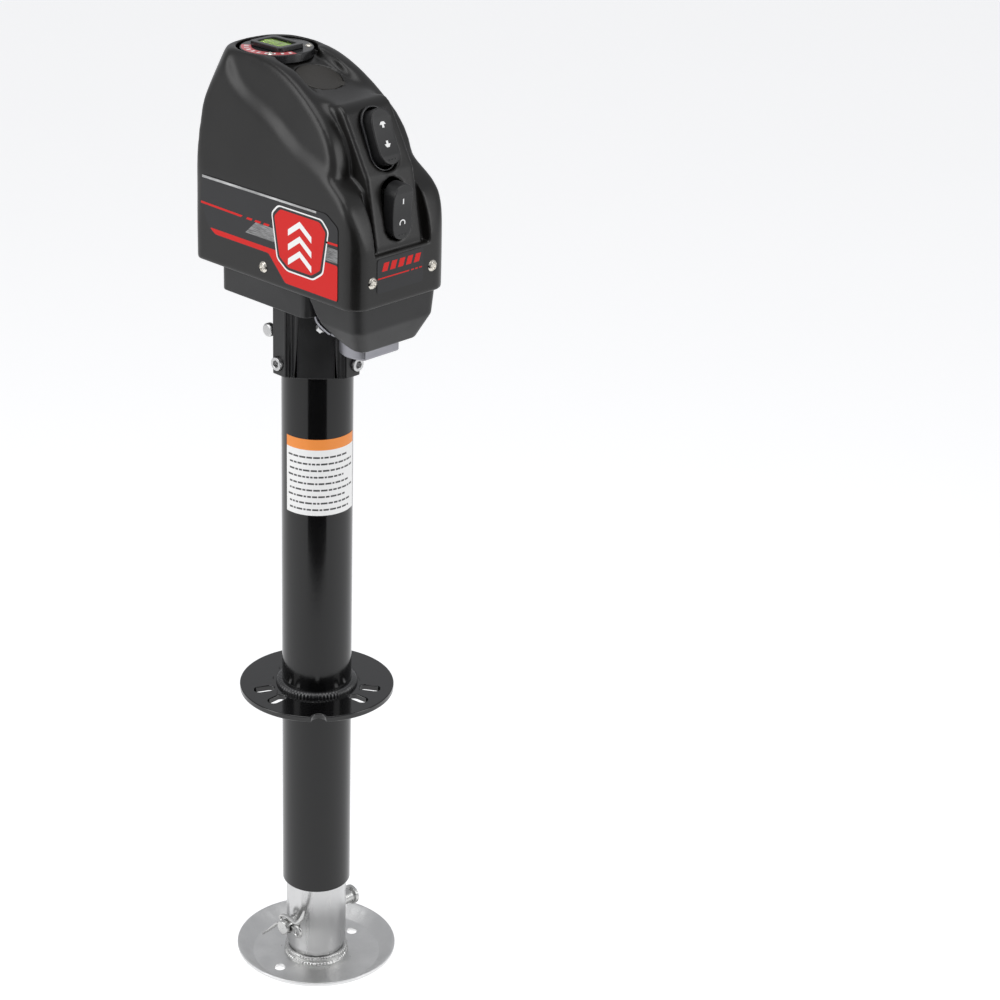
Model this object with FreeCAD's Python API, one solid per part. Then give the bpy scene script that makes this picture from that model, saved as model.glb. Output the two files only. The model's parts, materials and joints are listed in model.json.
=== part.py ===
import FreeCAD, Part
import math
import os
from FreeCAD import Rotation, Vector

# Powered tongue jack stand, millimetres, +Z up. The origin is on the floor, on the axis of the
# round outer tube. -Y is the switch side, -X the side that carries the large decal.

# --- fits
run_gap = 0.06          # radial gap of a shaft that turns or slides in its bore
slip_gap = 0.1          # radial gap between pieces of one body that slide together at assembly
clear_gap = 0.4         # gap between pieces that move past each other without being a fit
skin_gap = 0.03         # a decal or label stands this far off the face that carries it

# --- outer tube, ram and travel
travel = 355.6
ram_diameter = 50.8
ram_wall = 3.2
ram_bottom = 3.2
ram_toe = 7.0           # height of the narrow lower end that stands in the foot's ring
ram_taper = 7.0         # height of the taper above it
ram_toe_inset = 2.2
tube_wall = 2.3
tube_bottom = 77.4
bush_height = 30.0
bush_wall = 0.875
nut_height = 34.0
nut_flange = 4.0

# --- foot
foot_radius = 67.9
foot_floor_radius = 54.5
foot_height = 12.8
foot_plate = 3.0
foot_hole_radius = 4.4
foot_ring_wall = 2.6
foot_ring_height = 7.5
spigot_wall = 4.0
spigot_height = 68.0
pin_radius = 6.35
pin_height = 41.0
pin_head_thickness = 4.0
cotter_wire = 1.5

# --- mounting flange
flange_radius = 63.6
flange_top = 264.0
flange_thickness = 4.76
slot_width = 8.8
slot_pair_angle = 13.2  # each slot is this far from its pair's centre
slot_pair_start = 49.0
notch_radius = 6.0
weld_leg = 5.5

# --- label on the tube
label_height = 65.0
label_drop = 108.4      # its top edge is this far below the tube's top end
label_centre = -123.3
label_half_angle = 66.0
label_thickness = 0.15

# --- leadscrew and its bearing
screw_radius = 9.5
screw_tail = 128.0
screw_collar_height = 4.0
stop_height = 8.0
race_thickness = 2.5
ball_radius = 2.2
ball_count = 12

# The head is drawn with the tube's top end at this height, and build() lifts it onto the tube.
seat_height = 599.4

# --- collar of the casting that grips the tube
collar_bottom = 543.5
set_screw_radius = 5.4
set_screw_height = 553.5
set_screw_proud = 3.0
set_screw_hex = 5.6
bolt_radius = 5.5
bolt_height = 576.5
bolt_offset = 17.0

# --- gear case
cover_half = 49.0
case_half = cover_half - 4.5
case_wall = 2.6
case_back = 65.0
step_gap = 7.575        # from the back of the motor to the step in the underside of the casting
case_front = -79.5
case_bottom = 600.5
case_floor = 4.0
case_corner = 8.0
tray_bottom = 628.0
case_top = 662.0
lid_thickness = 4.0
lid_post_radius = 4.0
cord_hole_radius = 4.0
grommet_wall = 1.5

# --- gears
fine_module = 0.8
coarse_module = 1.25
pinion_teeth = 15
cluster_teeth = 45
cluster_pinion_teeth = 14
output_teeth = 48
backlash = 0.16
coarse_low = 640.0
coarse_width = 10.0
fine_low = 652.6
fine_width = 5.6
cluster_shaft_radius = 3.0

# --- motor
motor_radius = 23.0
motor_flat = 14.9       # distance of the flats from the motor's axis
motor_bottom = 570.5
motor_wall = 1.6
bell_height = 11.0
motor_shaft_radius = 2.5
magnet_thickness = 4.0
magnet_gap = 0.7
cradle_thickness = 1.6
cradle_height = 589.0
cradle_half = 32.5
cradle_arm = 25.0       # inner edge of each arm

# --- override drive under the plug
crank_socket_top = 750.0
crank_socket_height = 34.0
cross_pin_radius = 2.5
cross_pin_drop = 7.0

# --- cover
cover_wall = 3.0
cover_screw_radius = 2.0
cover_screw_length = 9.0
cover_bottom = 620.5
cover_back = 92.0
cover_front = -94.0
waist_height = 692.0    # the walls lean inwards above this
crown_height = 790.0
crown_half = 37.5
crown_back = 84.5
corner_front = 14.0
corner_back = 10.0
hump_half = 45.5
hump_step = 3.5          # the humps are this much narrower than the crown at the top
console_half = 24.0
console_step = (-79.5, 717.0)
console_ledge = (-90.2, 664.0)
groove_width = 4.5
groove_depth = 6.0
trough_half = 22.0

# --- level, plug, switches
level_centre = 46.6
level_radius = 28.5
level_top = 788.6
level_thickness = 6.5
level_moat = 2.6
bezel_top = 792.3
vial_depth = 4.0
plug_radius = 18.5
plug_head = 2.4
plug_stem = 9.0
plug_wall = 2.5
plug_fit = 0.08
plug_place = (-0.9, 773.9)
plug_slope = 18.0
boot_width = 19.5
boot_length = 43.0
boot_flange_rim = 3.25
boot_flange_height = 2.4
boot_gap = 0.9
boot_end_gap = 1.9      # room for the boot to rock
boot_wall = 2.5
boot_roof = 3.7
upper_stand = 10.6
upper_place = (-64.6, 739.8)
upper_slope = 67.2      # slope of the face under the upper boot, from level
lower_stand = 9.0
lower_tilt = 14.0       # the lower rocker rests in its off position
rocker_pin_radius = 1.6
switch_body_width = 16.0
switch_body_length = 30.0
switch_body_depth = 20.0
switch_slack = 8.0      # distance of the fixed switch body behind the rocker's pivot

# --- shroud under the cover
shroud_half = cover_half - 5.5
shroud_wall = 2.4
shroud_front = -90.5
shroud_back = -33.0
shroud_bottom = 581.5
shroud_toe_front = -81.0
shroud_toe_half = 25.0
shroud_corner = 9.0

# --- decals
decal_thickness = 0.2

# --- values that follow from the sizes above
ram_radius = ram_diameter / 2
ram_bore = ram_radius - ram_wall
ram_top = ram_bottom + travel + 177.4
tube_bore = ram_radius + bush_wall
tube_radius = tube_bore + tube_wall
tube_top = tube_bottom + travel + 166.4
head_lift = tube_top - seat_height
foot_hole_offset = ram_radius + 16.7
pin_tail = ram_radius + 14.1
pin_head_start = ram_radius + 13.6
pin_head_radius = pin_radius + 2.15
cotter_offset = ram_radius + 7.6
flange_bottom = flange_top - flange_thickness
slot_inner = tube_radius + 7.9
slot_outer = flange_radius - 9.6
label_high = tube_top - label_drop
label_low = label_high - label_height
journal_radius = screw_radius - 1.5
stop_radius = screw_radius + 5.5
bearing_radius = journal_radius + 2 * ball_radius + 0.1
screw_collar_radius = bearing_radius + 3.0
output_hub_radius = journal_radius + 5.0
crank_socket_radius = journal_radius + 3.0
collar_radius = tube_radius + 4.4
collar_boss = tube_radius + 10.4        # distance of the flat screw bosses from the axis
collar_bow = tube_radius + 4.8          # distance of the bowed corner from the axis
screw_shoulder = seat_height + 5.0
race_low = screw_shoulder + screw_collar_height + 0.2
balls_low = race_low + race_thickness
ball_height = balls_low + ball_radius + 0.02
race_high = balls_low + 2 * ball_radius + 0.04
web_low = race_high + race_thickness
lid_top = case_top + lid_thickness
cord_place = (30.0, case_back - 14.0)
motor_offset = collar_boss + motor_flat + 4.1
motor_y = -motor_offset
case_step = motor_y + motor_flat + step_gap    # front of the deep rear part of the case
armature_radius = motor_flat - motor_wall - 0.3
pinion_centre = fine_module * (pinion_teeth + cluster_teeth) / 2
output_centre = coarse_module * (cluster_pinion_teeth + output_teeth) / 2
cluster_y = -(motor_offset ** 2 + output_centre ** 2 - pinion_centre ** 2) / (2 * motor_offset)
cluster_x = math.sqrt(output_centre ** 2 - cluster_y ** 2)
bezel_length = level_radius * 1.263
bezel_width = level_radius * 0.912
window_length = level_radius * 0.93
window_width = level_radius * 0.6175
level_screw_x = level_radius * 0.688
level_screw_y = level_centre - level_radius * 0.509
plug_stem_radius = plug_radius - 4.0
boot_flange_width = boot_width + 2 * boot_flange_rim
boot_flange_length = boot_length + 2 * boot_flange_rim
cheek_outer = boot_width / 2 - boot_wall - 0.35
cheek_inner = cheek_outer - 1.5
lower_place = ((console_step[0] + console_ledge[0]) / 2, (console_step[1] + console_ledge[1]) / 2)
lower_slope = math.degrees(math.atan2(console_step[1] - console_ledge[1], console_step[0] - console_ledge[0]))

X = Vector(1, 0, 0)
Y = Vector(0, 1, 0)
Z = Vector(0, 0, 1)


# ---------------------------------------------------------------- helpers
def rod(radius, low, high, x=0.0, y=0.0):
    """Upright cylinder between two heights."""
    return Part.makeCylinder(radius, high - low, Vector(x, y, low))


def ring(outer, inner, low, high, x=0.0, y=0.0):
    return rod(outer, low, high, x, y).cut(rod(inner, low - 1, high + 1, x, y))


def block(x0, x1, y0, y1, z0, z1):
    return Part.makeBox(x1 - x0, y1 - y0, z1 - z0, Vector(x0, y0, z0))


def rod_along(radius, start, direction, length):
    return Part.makeCylinder(radius, length, Vector(*start), direction)


def spun(points):
    """Solid of revolution about Z from (radius, height) points."""
    wire = Part.makePolygon([Vector(r, 0, z) for r, z in points + points[:1]])
    return Part.Face(wire).revolve(Vector(0, 0, 0), Z, 360)


def prism(points, height, low):
    """Straight-sided prism from (x, y) points."""
    wire = Part.makePolygon([Vector(x, y, low) for x, y in points + points[:1]])
    return Part.Face(wire).extrude(Vector(0, 0, height))


def oval(width, length, height, low=0.0):
    """Upright prism with half-round ends, long along Y, centred on the origin."""
    r = width / 2
    s = length / 2 - r
    a, b, c, d = Vector(r, -s, low), Vector(r, s, low), Vector(-r, s, low), Vector(-r, -s, low)
    edges = [
        Part.LineSegment(a, b).toShape(),
        Part.Arc(b, Vector(0, s + r, low), c).toShape(),
        Part.LineSegment(c, d).toShape(),
        Part.Arc(d, Vector(0, -s - r, low), a).toShape(),
    ]
    return Part.Face(Part.Wire(edges)).extrude(Vector(0, 0, height))


def rounded_box(x0, x1, y0, y1, low, high, radius):
    shape = block(x0, x1, y0, y1, low, high)
    upright = [e for e in shape.Edges if abs(e.tangentAt(e.FirstParameter).z) > 0.9]
    return shape.makeFillet(radius, upright)


def profile_wire(parts):
    """Closed wire in the YZ plane. Each part is a list of (y, z): two points make a line, more a curve."""
    edges = []
    for points in parts:
        dots = [Vector(0, y, z) for y, z in points]
        if len(dots) == 2:
            edges.append(Part.LineSegment(*dots).toShape())
        else:
            curve = Part.BSplineCurve()
            curve.interpolate(dots)
            edges.append(curve.toShape())
    return Part.Wire(edges)


def grown(parts, growth):
    """The same closed outline with every side moved outwards by growth, corners mitred."""
    flat = [Vector(0, y, z) for part in parts for y, z in part[:-1]]
    area = sum((a.cross(b)).x for a, b in zip(flat, flat[1:] + flat[:1]))
    out = []
    for a, b, c in zip(flat[-1:] + flat[:-1], flat, flat[1:] + flat[:1]):
        sides = [(b - a).normalize(), (c - b).normalize()]
        first, second = [Vector(0, s.z, -s.y) * math.copysign(1, area) for s in sides]
        moved = b + (first + second) * (growth / (1 + first.dot(second)))
        out.append((moved.y, moved.z))
    shifted, start = [], 0
    for part in parts:
        end = start + len(part)
        shifted.append([out[k % len(out)] for k in range(start, end)])
        start = end - 1
    return shifted


def side_prism(parts, half_width, growth=0.0):
    """Prism across X from a side profile, its outline grown by the given amount."""
    face = Part.Face(profile_wire(grown(parts, growth)))
    face.translate(Vector(-half_width, 0, 0))
    return face.extrude(Vector(2 * half_width, 0, 0))


def fused(shapes):
    return shapes[0].fuse(shapes[1:]) if len(shapes) > 1 else shapes[0]


def on_slope(shape, y, z, slope, turn=0.0):
    """Moves a shape drawn on the XY plane to a face that drops by slope degrees towards -Y."""
    placed = shape.copy()
    if turn:
        placed.rotate(Vector(0, 0, 0), X, turn)
    placed.rotate(Vector(0, 0, 0), X, slope)
    placed.translate(Vector(0, y, z))
    return placed


def gear(module, teeth, low, width, bore, x=0.0, y=0.0, turn=0.0, addendum=0.9, dedendum=1.2):
    """Involute spur gear, 20 degree pressure angle, thinned by half of the backlash."""
    pitch = module * teeth / 2
    base = pitch * math.cos(math.radians(20))
    tip = pitch + addendum * module
    root = pitch - dedendum * module
    involute = math.tan(math.radians(20)) - math.radians(20)
    half = math.pi / (2 * teeth) - backlash / (4 * pitch) + involute
    flank = []
    for step in range(6):
        r = max(base, root) + (tip - max(base, root)) * step / 5
        angle = math.acos(min(1.0, base / r))
        flank.append((r, half - (math.tan(angle) - angle)))
    outline = []
    for tooth in range(teeth):
        centre = math.radians(turn) + 2 * math.pi * tooth / teeth
        outline.append((root, centre - flank[0][1]))
        outline += [(r, centre - a) for r, a in flank]
        outline += [(r, centre + a) for r, a in reversed(flank)]
        outline.append((root, centre + flank[0][1]))
    points = [(x + r * math.cos(a), y + r * math.sin(a)) for r, a in outline]
    return prism(points, width, low).cut(rod(bore, low - 1, low + width + 1, x, y))


def hex_rod(across_flats, start, direction, length):
    r = across_flats / math.sqrt(3)
    points = [Vector(r * math.cos(math.pi * k / 3), r * math.sin(math.pi * k / 3), 0) for k in range(7)]
    shape = Part.Face(Part.makePolygon(points)).extrude(Vector(0, 0, length))
    shape.rotate(Vector(0, 0, 0), Rotation(Z, direction).Axis, math.degrees(Rotation(Z, direction).Angle))
    shape.translate(Vector(*start))
    return shape


def pan_screw(head_radius, head_height, shank_radius, shank_length, seat, direction):
    """Screw with a domed head and a cross recess; its seat is where the head meets the face."""
    dome_radius = (head_radius ** 2 + head_height ** 2) / (2 * head_height)
    ball = Part.makeSphere(dome_radius, Vector(0, 0, head_height - dome_radius))
    head = ball.common(rod(head_radius, 0, head_height))
    slot = head_radius * 0.22
    arm, depth = head_radius * 0.6, head_height * 0.45
    cross = block(-slot, slot, -arm, arm, depth, head_height + 1)
    cross = cross.fuse(block(-arm, arm, -slot, slot, depth, head_height + 1))
    screw = head.cut(cross).fuse(rod(shank_radius, -shank_length, 0))
    turn = Rotation(Z, direction)
    screw.rotate(Vector(0, 0, 0), turn.Axis, math.degrees(turn.Angle))
    screw.translate(Vector(*seat))
    return screw


# ---------------------------------------------------------------- foot and ram
def foot_pan():
    plate = foot_plate
    pan = spun([
        (0, 0), (foot_floor_radius - 2, 0), (foot_radius - 1.0, foot_height - plate - 0.6),
        (foot_radius, foot_height - plate), (foot_radius, foot_height), (foot_radius - 1.6, foot_height),
        (foot_floor_radius, plate), (0, plate),
    ])
    for side in (-1, 1):
        pan = pan.cut(rod(foot_hole_radius, -1, plate + 1, side * foot_hole_offset, 0))
    return pan


def foot_ring():
    inner = ram_radius - ram_toe_inset + 2 * slip_gap
    bead = spun([
        (inner, foot_plate), (inner + foot_ring_wall + 1.6, foot_plate),
        (inner + foot_ring_wall, foot_plate + 2.2), (inner + foot_ring_wall, foot_plate + foot_ring_height),
        (inner, foot_plate + foot_ring_height),
    ])
    return bead


def foot_spigot():
    outer = ram_bore - slip_gap
    tube = ring(outer, outer - spigot_wall, foot_plate, foot_plate + spigot_height)
    return tube.cut(rod_along(pin_radius + slip_gap, (-50, 0, pin_height), X, 100))


def clevis_pin():
    shank = rod_along(pin_radius, (-pin_tail, 0, pin_height), X, pin_tail + pin_head_start)
    head = rod_along(pin_head_radius, (pin_head_start, 0, pin_height), X, pin_head_thickness)
    pin = shank.fuse(head)
    hole = rod_along(2 * cotter_wire + slip_gap, (-cotter_offset, -20, pin_height), Y, 40)
    return pin.cut(hole)


def cotter_pin():
    """Split pin: an eye in front of the clevis pin and two legs spread behind it."""
    x, z, w = -cotter_offset, pin_height, cotter_wire
    front, back = -pin_radius - 1.2, pin_radius + 3.0
    body = []
    for lift in (-1, 1):
        dz = lift * w
        body.append(rod_along(w * 0.98, (x, front, z + dz), Y, back - front))
        body.append(Part.makeSphere(w * 0.98, Vector(x, back, z + dz)))
        leg = Vector(0, 20, -17) if lift < 0 else Vector(0, 4, 24)
        body.append(rod_along(w * 0.98, (x, back, z + dz), leg, leg.Length))
    eye = Part.makeTorus(2.6 * w, w, Vector(x, front - 2.6 * w, z), X)
    return fused(body + [eye])


def ram_tube():
    toe = ram_radius - ram_toe_inset
    shell = spun([
        (ram_bore, ram_bottom), (toe, ram_bottom), (toe, ram_bottom + ram_toe),
        (ram_radius, ram_bottom + ram_toe + ram_taper), (ram_radius, ram_top), (ram_bore, ram_top),
    ])
    return shell.cut(rod_along(pin_radius + slip_gap, (-50, 0, pin_height), X, 100))


def ram_guide():
    return ring(tube_bore - run_gap, ram_radius, ram_top - bush_height, ram_top)


def screw_nut():
    flange = ring(ram_radius, screw_radius + run_gap, ram_top, ram_top + nut_flange)
    return flange.fuse(ring(ram_bore - slip_gap, screw_radius + run_gap, ram_top - nut_height, ram_top))


# ---------------------------------------------------------------- outer tube
def outer_tube():
    return spun([
        (tube_bore, tube_bottom + 0.8), (tube_bore + 0.6, tube_bottom), (tube_radius - 0.8, tube_bottom),
        (tube_radius, tube_bottom + 1.0), (tube_radius, tube_top), (tube_bore, tube_top),
    ])


def tube_bush():
    return ring(tube_bore, ram_radius + run_gap, tube_bottom + 2, tube_bottom + 2 + bush_height)


def mounting_flange():
    plate = ring(flange_radius, tube_radius, flange_bottom, flange_top)
    slot = oval(slot_width, slot_outer - slot_inner, flange_thickness + 2, flange_bottom - 1)
    slot.translate(Vector(0, (slot_inner + slot_outer) / 2, 0))
    for pair in range(3):
        for side in (-1, 1):
            cutter = slot.copy()
            angle = slot_pair_start + 120 * pair + side * slot_pair_angle - 90
            cutter.rotate(Vector(0, 0, 0), Z, angle)
            plate = plate.cut(cutter)
    away = math.radians(slot_pair_start + 180)
    notch = rod(notch_radius, flange_bottom - 1, flange_top + 1,
                flange_radius * math.cos(away), flange_radius * math.sin(away))
    return plate.cut(notch)


def flange_weld():
    """The bead is on the upper side only, so that the plate lies flat on a coupler."""
    toe = tube_radius + weld_leg
    return spun([(tube_radius, flange_top), (toe, flange_top), (tube_radius, flange_top + weld_leg)])


def tube_label():
    inner = tube_radius + skin_gap
    shell = ring(inner + label_thickness, inner, label_low, label_high)
    reach = 2 * tube_radius
    angles = [math.radians(label_centre + k * label_half_angle / 2) for k in (-2, -1, 0, 1, 2)]
    fan = [(0, 0)] + [(reach * math.cos(a), reach * math.sin(a)) for a in angles]
    return shell.common(prism(fan, label_high - label_low, label_low))


# ---------------------------------------------------------------- leadscrew and bearing
def leadscrew():
    """Drawn at its own height, so build() doesn't lift it."""
    top = crank_socket_top - crank_socket_height + 12 + head_lift
    shoulder, journal_low = screw_shoulder + head_lift, race_low + head_lift
    shaft = rod(screw_radius, screw_tail, shoulder)
    collar = rod(screw_collar_radius, shoulder, journal_low)
    journal = rod(journal_radius, journal_low, top)
    tail = rod(screw_radius - 2.5, screw_tail - stop_height, screw_tail)
    return fused([shaft, collar, journal, tail])


def screw_stop():
    return ring(stop_radius, screw_radius - 2.5, screw_tail - stop_height, screw_tail)


def race(low, bore):
    outer = bearing_radius + ball_radius + 1.0
    return ring(outer, bore, low, low + race_thickness)


def ball_places():
    angles = [2 * math.pi * k / ball_count for k in range(ball_count)]
    return [Vector(bearing_radius * math.cos(a), bearing_radius * math.sin(a), ball_height) for a in angles]


def bearing_balls():
    return Part.makeCompound([Part.makeSphere(ball_radius, place) for place in ball_places()])


def bearing_cage():
    reach = ball_radius + 0.6
    cage = ring(bearing_radius + reach, bearing_radius - reach, ball_height - 1, ball_height + 1)
    for place in ball_places():
        cage = cage.cut(rod(ball_radius + 0.05, ball_height - 2, ball_height + 2, place.x, place.y))
    return cage


def output_gear():
    wheel = gear(coarse_module, output_teeth, coarse_low, coarse_width, journal_radius)
    hub_low = tray_bottom + case_floor + 1.0
    return wheel.fuse(ring(output_hub_radius, journal_radius, hub_low, coarse_low))


def screw_circlip():
    clip = ring(journal_radius + 3.5, journal_radius, lid_top + clear_gap, lid_top + clear_gap + 1.2)
    return clip.cut(block(-3, 3, -journal_radius - 5, 0, lid_top, lid_top + 3))


def crank_socket():
    low = crank_socket_top - crank_socket_height
    sleeve = ring(crank_socket_radius, journal_radius, low, crank_socket_top)
    pin_hole = rod_along(cross_pin_radius, (-20, 0, crank_socket_top - cross_pin_drop), X, 40)
    return sleeve.cut(pin_hole)


def cross_pin():
    return rod_along(cross_pin_radius, (-crank_socket_radius - 3, 0, crank_socket_top - cross_pin_drop), X,
                     2 * crank_socket_radius + 6)


# ---------------------------------------------------------------- intermediate gears
def cluster_gear():
    mesh = math.degrees(math.atan2(-motor_offset - cluster_y, -cluster_x))
    turn = mesh + 180 / cluster_teeth
    return gear(fine_module, cluster_teeth, fine_low, fine_width, cluster_shaft_radius,
                cluster_x, cluster_y, turn)


def cluster_pinion():
    mesh = math.degrees(math.atan2(-cluster_y, -cluster_x))
    facing = mesh + 180
    phase = facing * output_teeth / 360.0
    turn = mesh + (phase - math.floor(phase) - 0.5) * 360 / cluster_pinion_teeth
    pinion = gear(coarse_module, cluster_pinion_teeth, coarse_low, coarse_width, cluster_shaft_radius,
                  cluster_x, cluster_y, turn)
    spacer = ring(7.5, cluster_shaft_radius, coarse_low + coarse_width, fine_low, cluster_x, cluster_y)
    return pinion.fuse(spacer)


def cluster_shaft():
    return rod(cluster_shaft_radius, tray_bottom + 0.5, lid_top - 0.5, cluster_x, cluster_y)


# ---------------------------------------------------------------- motor
def motor_outline(radius, flat, low, high):
    body = rod(radius, low, high, 0, motor_y)
    return body.common(block(-radius, radius, motor_y - flat, motor_y + flat, low, high))


def motor_can():
    low = motor_bottom + bell_height
    can = motor_outline(motor_radius, motor_flat, low, tray_bottom)
    hollow = motor_outline(motor_radius - motor_wall, motor_flat - motor_wall, low - 1, tray_bottom - 2)
    return can.cut(hollow).cut(rod(motor_shaft_radius + run_gap, low, tray_bottom + 1, 0, motor_y))


def motor_bell():
    high = motor_bottom + bell_height
    bell = motor_outline(motor_radius, motor_flat, motor_bottom, high)
    lower = [e for e in bell.Edges if e.BoundBox.ZMax < motor_bottom + 0.01]
    bell = bell.makeFillet(2.0, lower)
    hollow = motor_outline(motor_radius - motor_wall, motor_flat - motor_wall, motor_bottom + 3, high + 1)
    return bell.cut(hollow).cut(rod(motor_shaft_radius + run_gap, motor_bottom + 1, high, 0, motor_y))


def motor_magnets():
    inner = armature_radius + magnet_gap
    low, high = motor_bottom + bell_height + 6, tray_bottom - 8
    magnets = ring(inner + magnet_thickness, inner, low, high, 0, motor_y)
    halves = []
    for side in (-1, 1):
        edge = 4.0 * side
        far = 30.0 * side
        keep = block(min(edge, far), max(edge, far), motor_y - motor_flat + motor_wall + 0.1,
                     motor_y + motor_flat - motor_wall - 0.1, low, high)
        halves.append(magnets.common(keep))
    return Part.makeCompound(halves)


def motor_shaft():
    return rod(motor_shaft_radius, motor_bottom + 1.3, fine_low + fine_width + 1.0, 0, motor_y)


def armature():
    low, high = motor_bottom + bell_height + 8, tray_bottom - 10
    stack = rod(armature_radius, low, high, 0, motor_y)
    for k in range(7):
        a = 2 * math.pi * k / 7
        stack = stack.cut(rod(2.2, low - 1, high + 1, (armature_radius - 1.5) * math.cos(a),
                              motor_y + (armature_radius - 1.5) * math.sin(a)))
    return stack.cut(rod(motor_shaft_radius, low - 1, high + 1, 0, motor_y))


def commutator():
    low = motor_bottom + bell_height - 3
    return ring(6.0, motor_shaft_radius, low, low + 9, 0, motor_y)


def motor_brushes():
    z = motor_bottom + bell_height + 1.5
    brushes = []
    for side in (-1, 1):
        start = side * 6.4
        end = side * (motor_radius - motor_wall - 2.5)
        brushes.append(block(min(start, end), max(start, end), motor_y - 2.5, motor_y + 2.5, z - 3, z + 3))
    return Part.makeCompound(brushes)


def motor_pinion():
    mesh = math.degrees(math.atan2(cluster_y + motor_offset, cluster_x))
    return gear(fine_module, pinion_teeth, fine_low, fine_width, motor_shaft_radius, 0, motor_y, mesh)


def motor_cradle():
    """Bent plate that clamps the motor: it rings the can and curves up to the casting on each side."""
    t, z = cradle_thickness, cradle_height
    front, back = motor_y - motor_flat - 1.5, motor_y + motor_flat - 4
    plate = rounded_box(-cradle_half, cradle_half, front, back, z, z + t, 5)
    plate = plate.cut(motor_outline(motor_radius + slip_gap, motor_flat + slip_gap, z - 1, z + t + 1))
    top_y = case_step + 4
    outline = profile_wire([
        [(back - 2, z), (back, z)],
        [(back, z), (back + 7.5, z + 2.6), (top_y - 0.6, z + 8), (top_y, case_bottom)],
        [(top_y, case_bottom), (top_y - t, case_bottom)],
        [(top_y - t, case_bottom), (top_y - t - 1.2, z + 8.8), (back + 6.5, z + t + 2.6),
         (back - 0.5, z + t)],
        [(back - 0.5, z + t), (back - 2, z + t)],
        [(back - 2, z + t), (back - 2, z)],
    ])
    arms = []
    for side in (-1, 1):
        face = Part.Face(outline)
        face.translate(Vector(side * cradle_arm, 0, 0))
        arms.append(face.extrude(Vector(side * (cradle_half - cradle_arm), 0, 0)))
    return fused([plate] + arms)


def cradle_bolts():
    """Hex heads on the curve of the cradle's arms."""
    bolts = []
    for side in (-1, 1):
        x = side * (cradle_half + cradle_arm) / 2
        y, z = motor_y + motor_flat + 6.2, cradle_height + 2.7
        bolts.append(hex_rod(7.0, (x, y, z), Vector(0, 0.72, -0.69), 4.2))
    return Part.makeCompound(bolts)


# ---------------------------------------------------------------- casting
def collar_outline(low, high):
    """A square boss for each set screw, joined by a bowed corner."""
    flat, far, near = collar_boss, 9.0, 4.0
    corner = collar_bow / math.sqrt(2)
    a, b, c = Vector(-flat, far, low), Vector(-flat, -near, low), Vector(-near, -flat, low)
    d, e = Vector(far, -flat, low), Vector(far, far, low)
    edges = [
        Part.LineSegment(a, b).toShape(),
        Part.Arc(b, Vector(-corner, -corner, low), c).toShape(),
        Part.LineSegment(c, d).toShape(),
        Part.LineSegment(d, e).toShape(),
        Part.LineSegment(e, a).toShape(),
    ]
    return Part.Face(Part.Wire(edges)).extrude(Vector(0, 0, high - low))


def collar_grooves():
    """Thin upright grooves near both ends of the bowed corner."""
    cuts = []
    for along in (-21.5, -17.5, 17.5, 21.5):
        groove = block(along - 0.9, along + 0.9, -50, -collar_bow + 2.6, collar_bottom + 1, case_bottom + 1)
        groove.rotate(Vector(0, 0, 0), Z, -45)
        cuts.append(groove)
    return cuts


def gear_housing():
    """One casting: collar on the tube, deep rear part, and the shallow tray that holds the gears."""
    collar = rod(collar_radius, collar_bottom, case_bottom + 1)
    collar = collar.fuse(collar_outline(collar_bottom, case_bottom + 1)).cut(fused(collar_grooves()))
    rear = rounded_box(-case_half, case_half, case_step, case_back, case_bottom, case_top, case_corner)
    tray = rounded_box(-case_half, case_half, case_front, case_back, tray_bottom, case_top, case_corner)
    bosses = [screw_boss(*place) for place in cover_screw_places()]
    body = fused([collar, rear, tray] + bosses)
    floor = tray_bottom + case_floor
    inner = case_half - case_wall
    body = body.cut(rounded_box(-inner, inner, case_front + case_wall, case_back - case_wall,
                                floor, case_top + 1, case_corner - case_wall))
    pocket_low = case_bottom + case_floor
    pocket_front, pocket_back = case_step + case_wall, case_back - case_wall
    core = 24.0
    for x0, x1, y0 in ((-inner, -core, pocket_front), (core, inner, pocket_front), (-core, core, core)):
        body = body.cut(block(x0, x1, y0, pocket_back, pocket_low, floor + 1))
    body = body.cut(rod(tube_radius, collar_bottom - 1, seat_height))
    body = body.cut(rod(screw_collar_radius + 1.5, seat_height - 1, web_low))
    body = body.cut(rod(journal_radius + 0.6, web_low - 1, case_top))
    body = body.cut(rod(cluster_shaft_radius + run_gap, tray_bottom - 1, case_top, cluster_x, cluster_y))
    body = body.cut(rod(motor_shaft_radius + 1, tray_bottom - 1, case_top, 0, motor_y))
    for start, inward in set_screw_places():
        body = body.cut(rod_along(set_screw_radius, start, inward, collar_boss))
    bolt_hole = rod_along(bolt_radius - 1.5, (-collar_radius - 20, bolt_offset, bolt_height), X,
                          collar_radius + 20 - tube_radius + 4)
    body = body.cut(bolt_hole)
    for x, y in lid_screw_places():
        post = rod(lid_post_radius, floor, case_top, x, y)
        body = body.fuse(post.cut(rod(1.7, case_top - 12, case_top + 1, x, y)))
    for seat, direction in cover_screw_places():
        hole_radius = cover_screw_radius + slip_gap / 2
        body = body.cut(rod_along(hole_radius, seat, -direction, cover_screw_length + 1))
    return body.cut(rod(cord_hole_radius + grommet_wall, case_bottom - 1, pocket_low + 1, *cord_place))


def screw_boss(seat, direction):
    """Block of the casting that a cover screw goes into, just inside the cover's wall."""
    start = seat - direction * (cover_wall + 0.8)
    depth = cover_screw_length + 3.0
    half = 5.0
    boss = block(-half, half, -half, half, 0, depth)
    turn = Rotation(Z, -direction)
    boss.rotate(Vector(0, 0, 0), turn.Axis, math.degrees(turn.Angle))
    boss.translate(start)
    return boss


def lid_screw_places():
    edge = case_wall + 3.2
    return [(side * (case_half - edge), y) for side in (-1, 1) for y in (case_front + edge, case_back - edge)]


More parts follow.
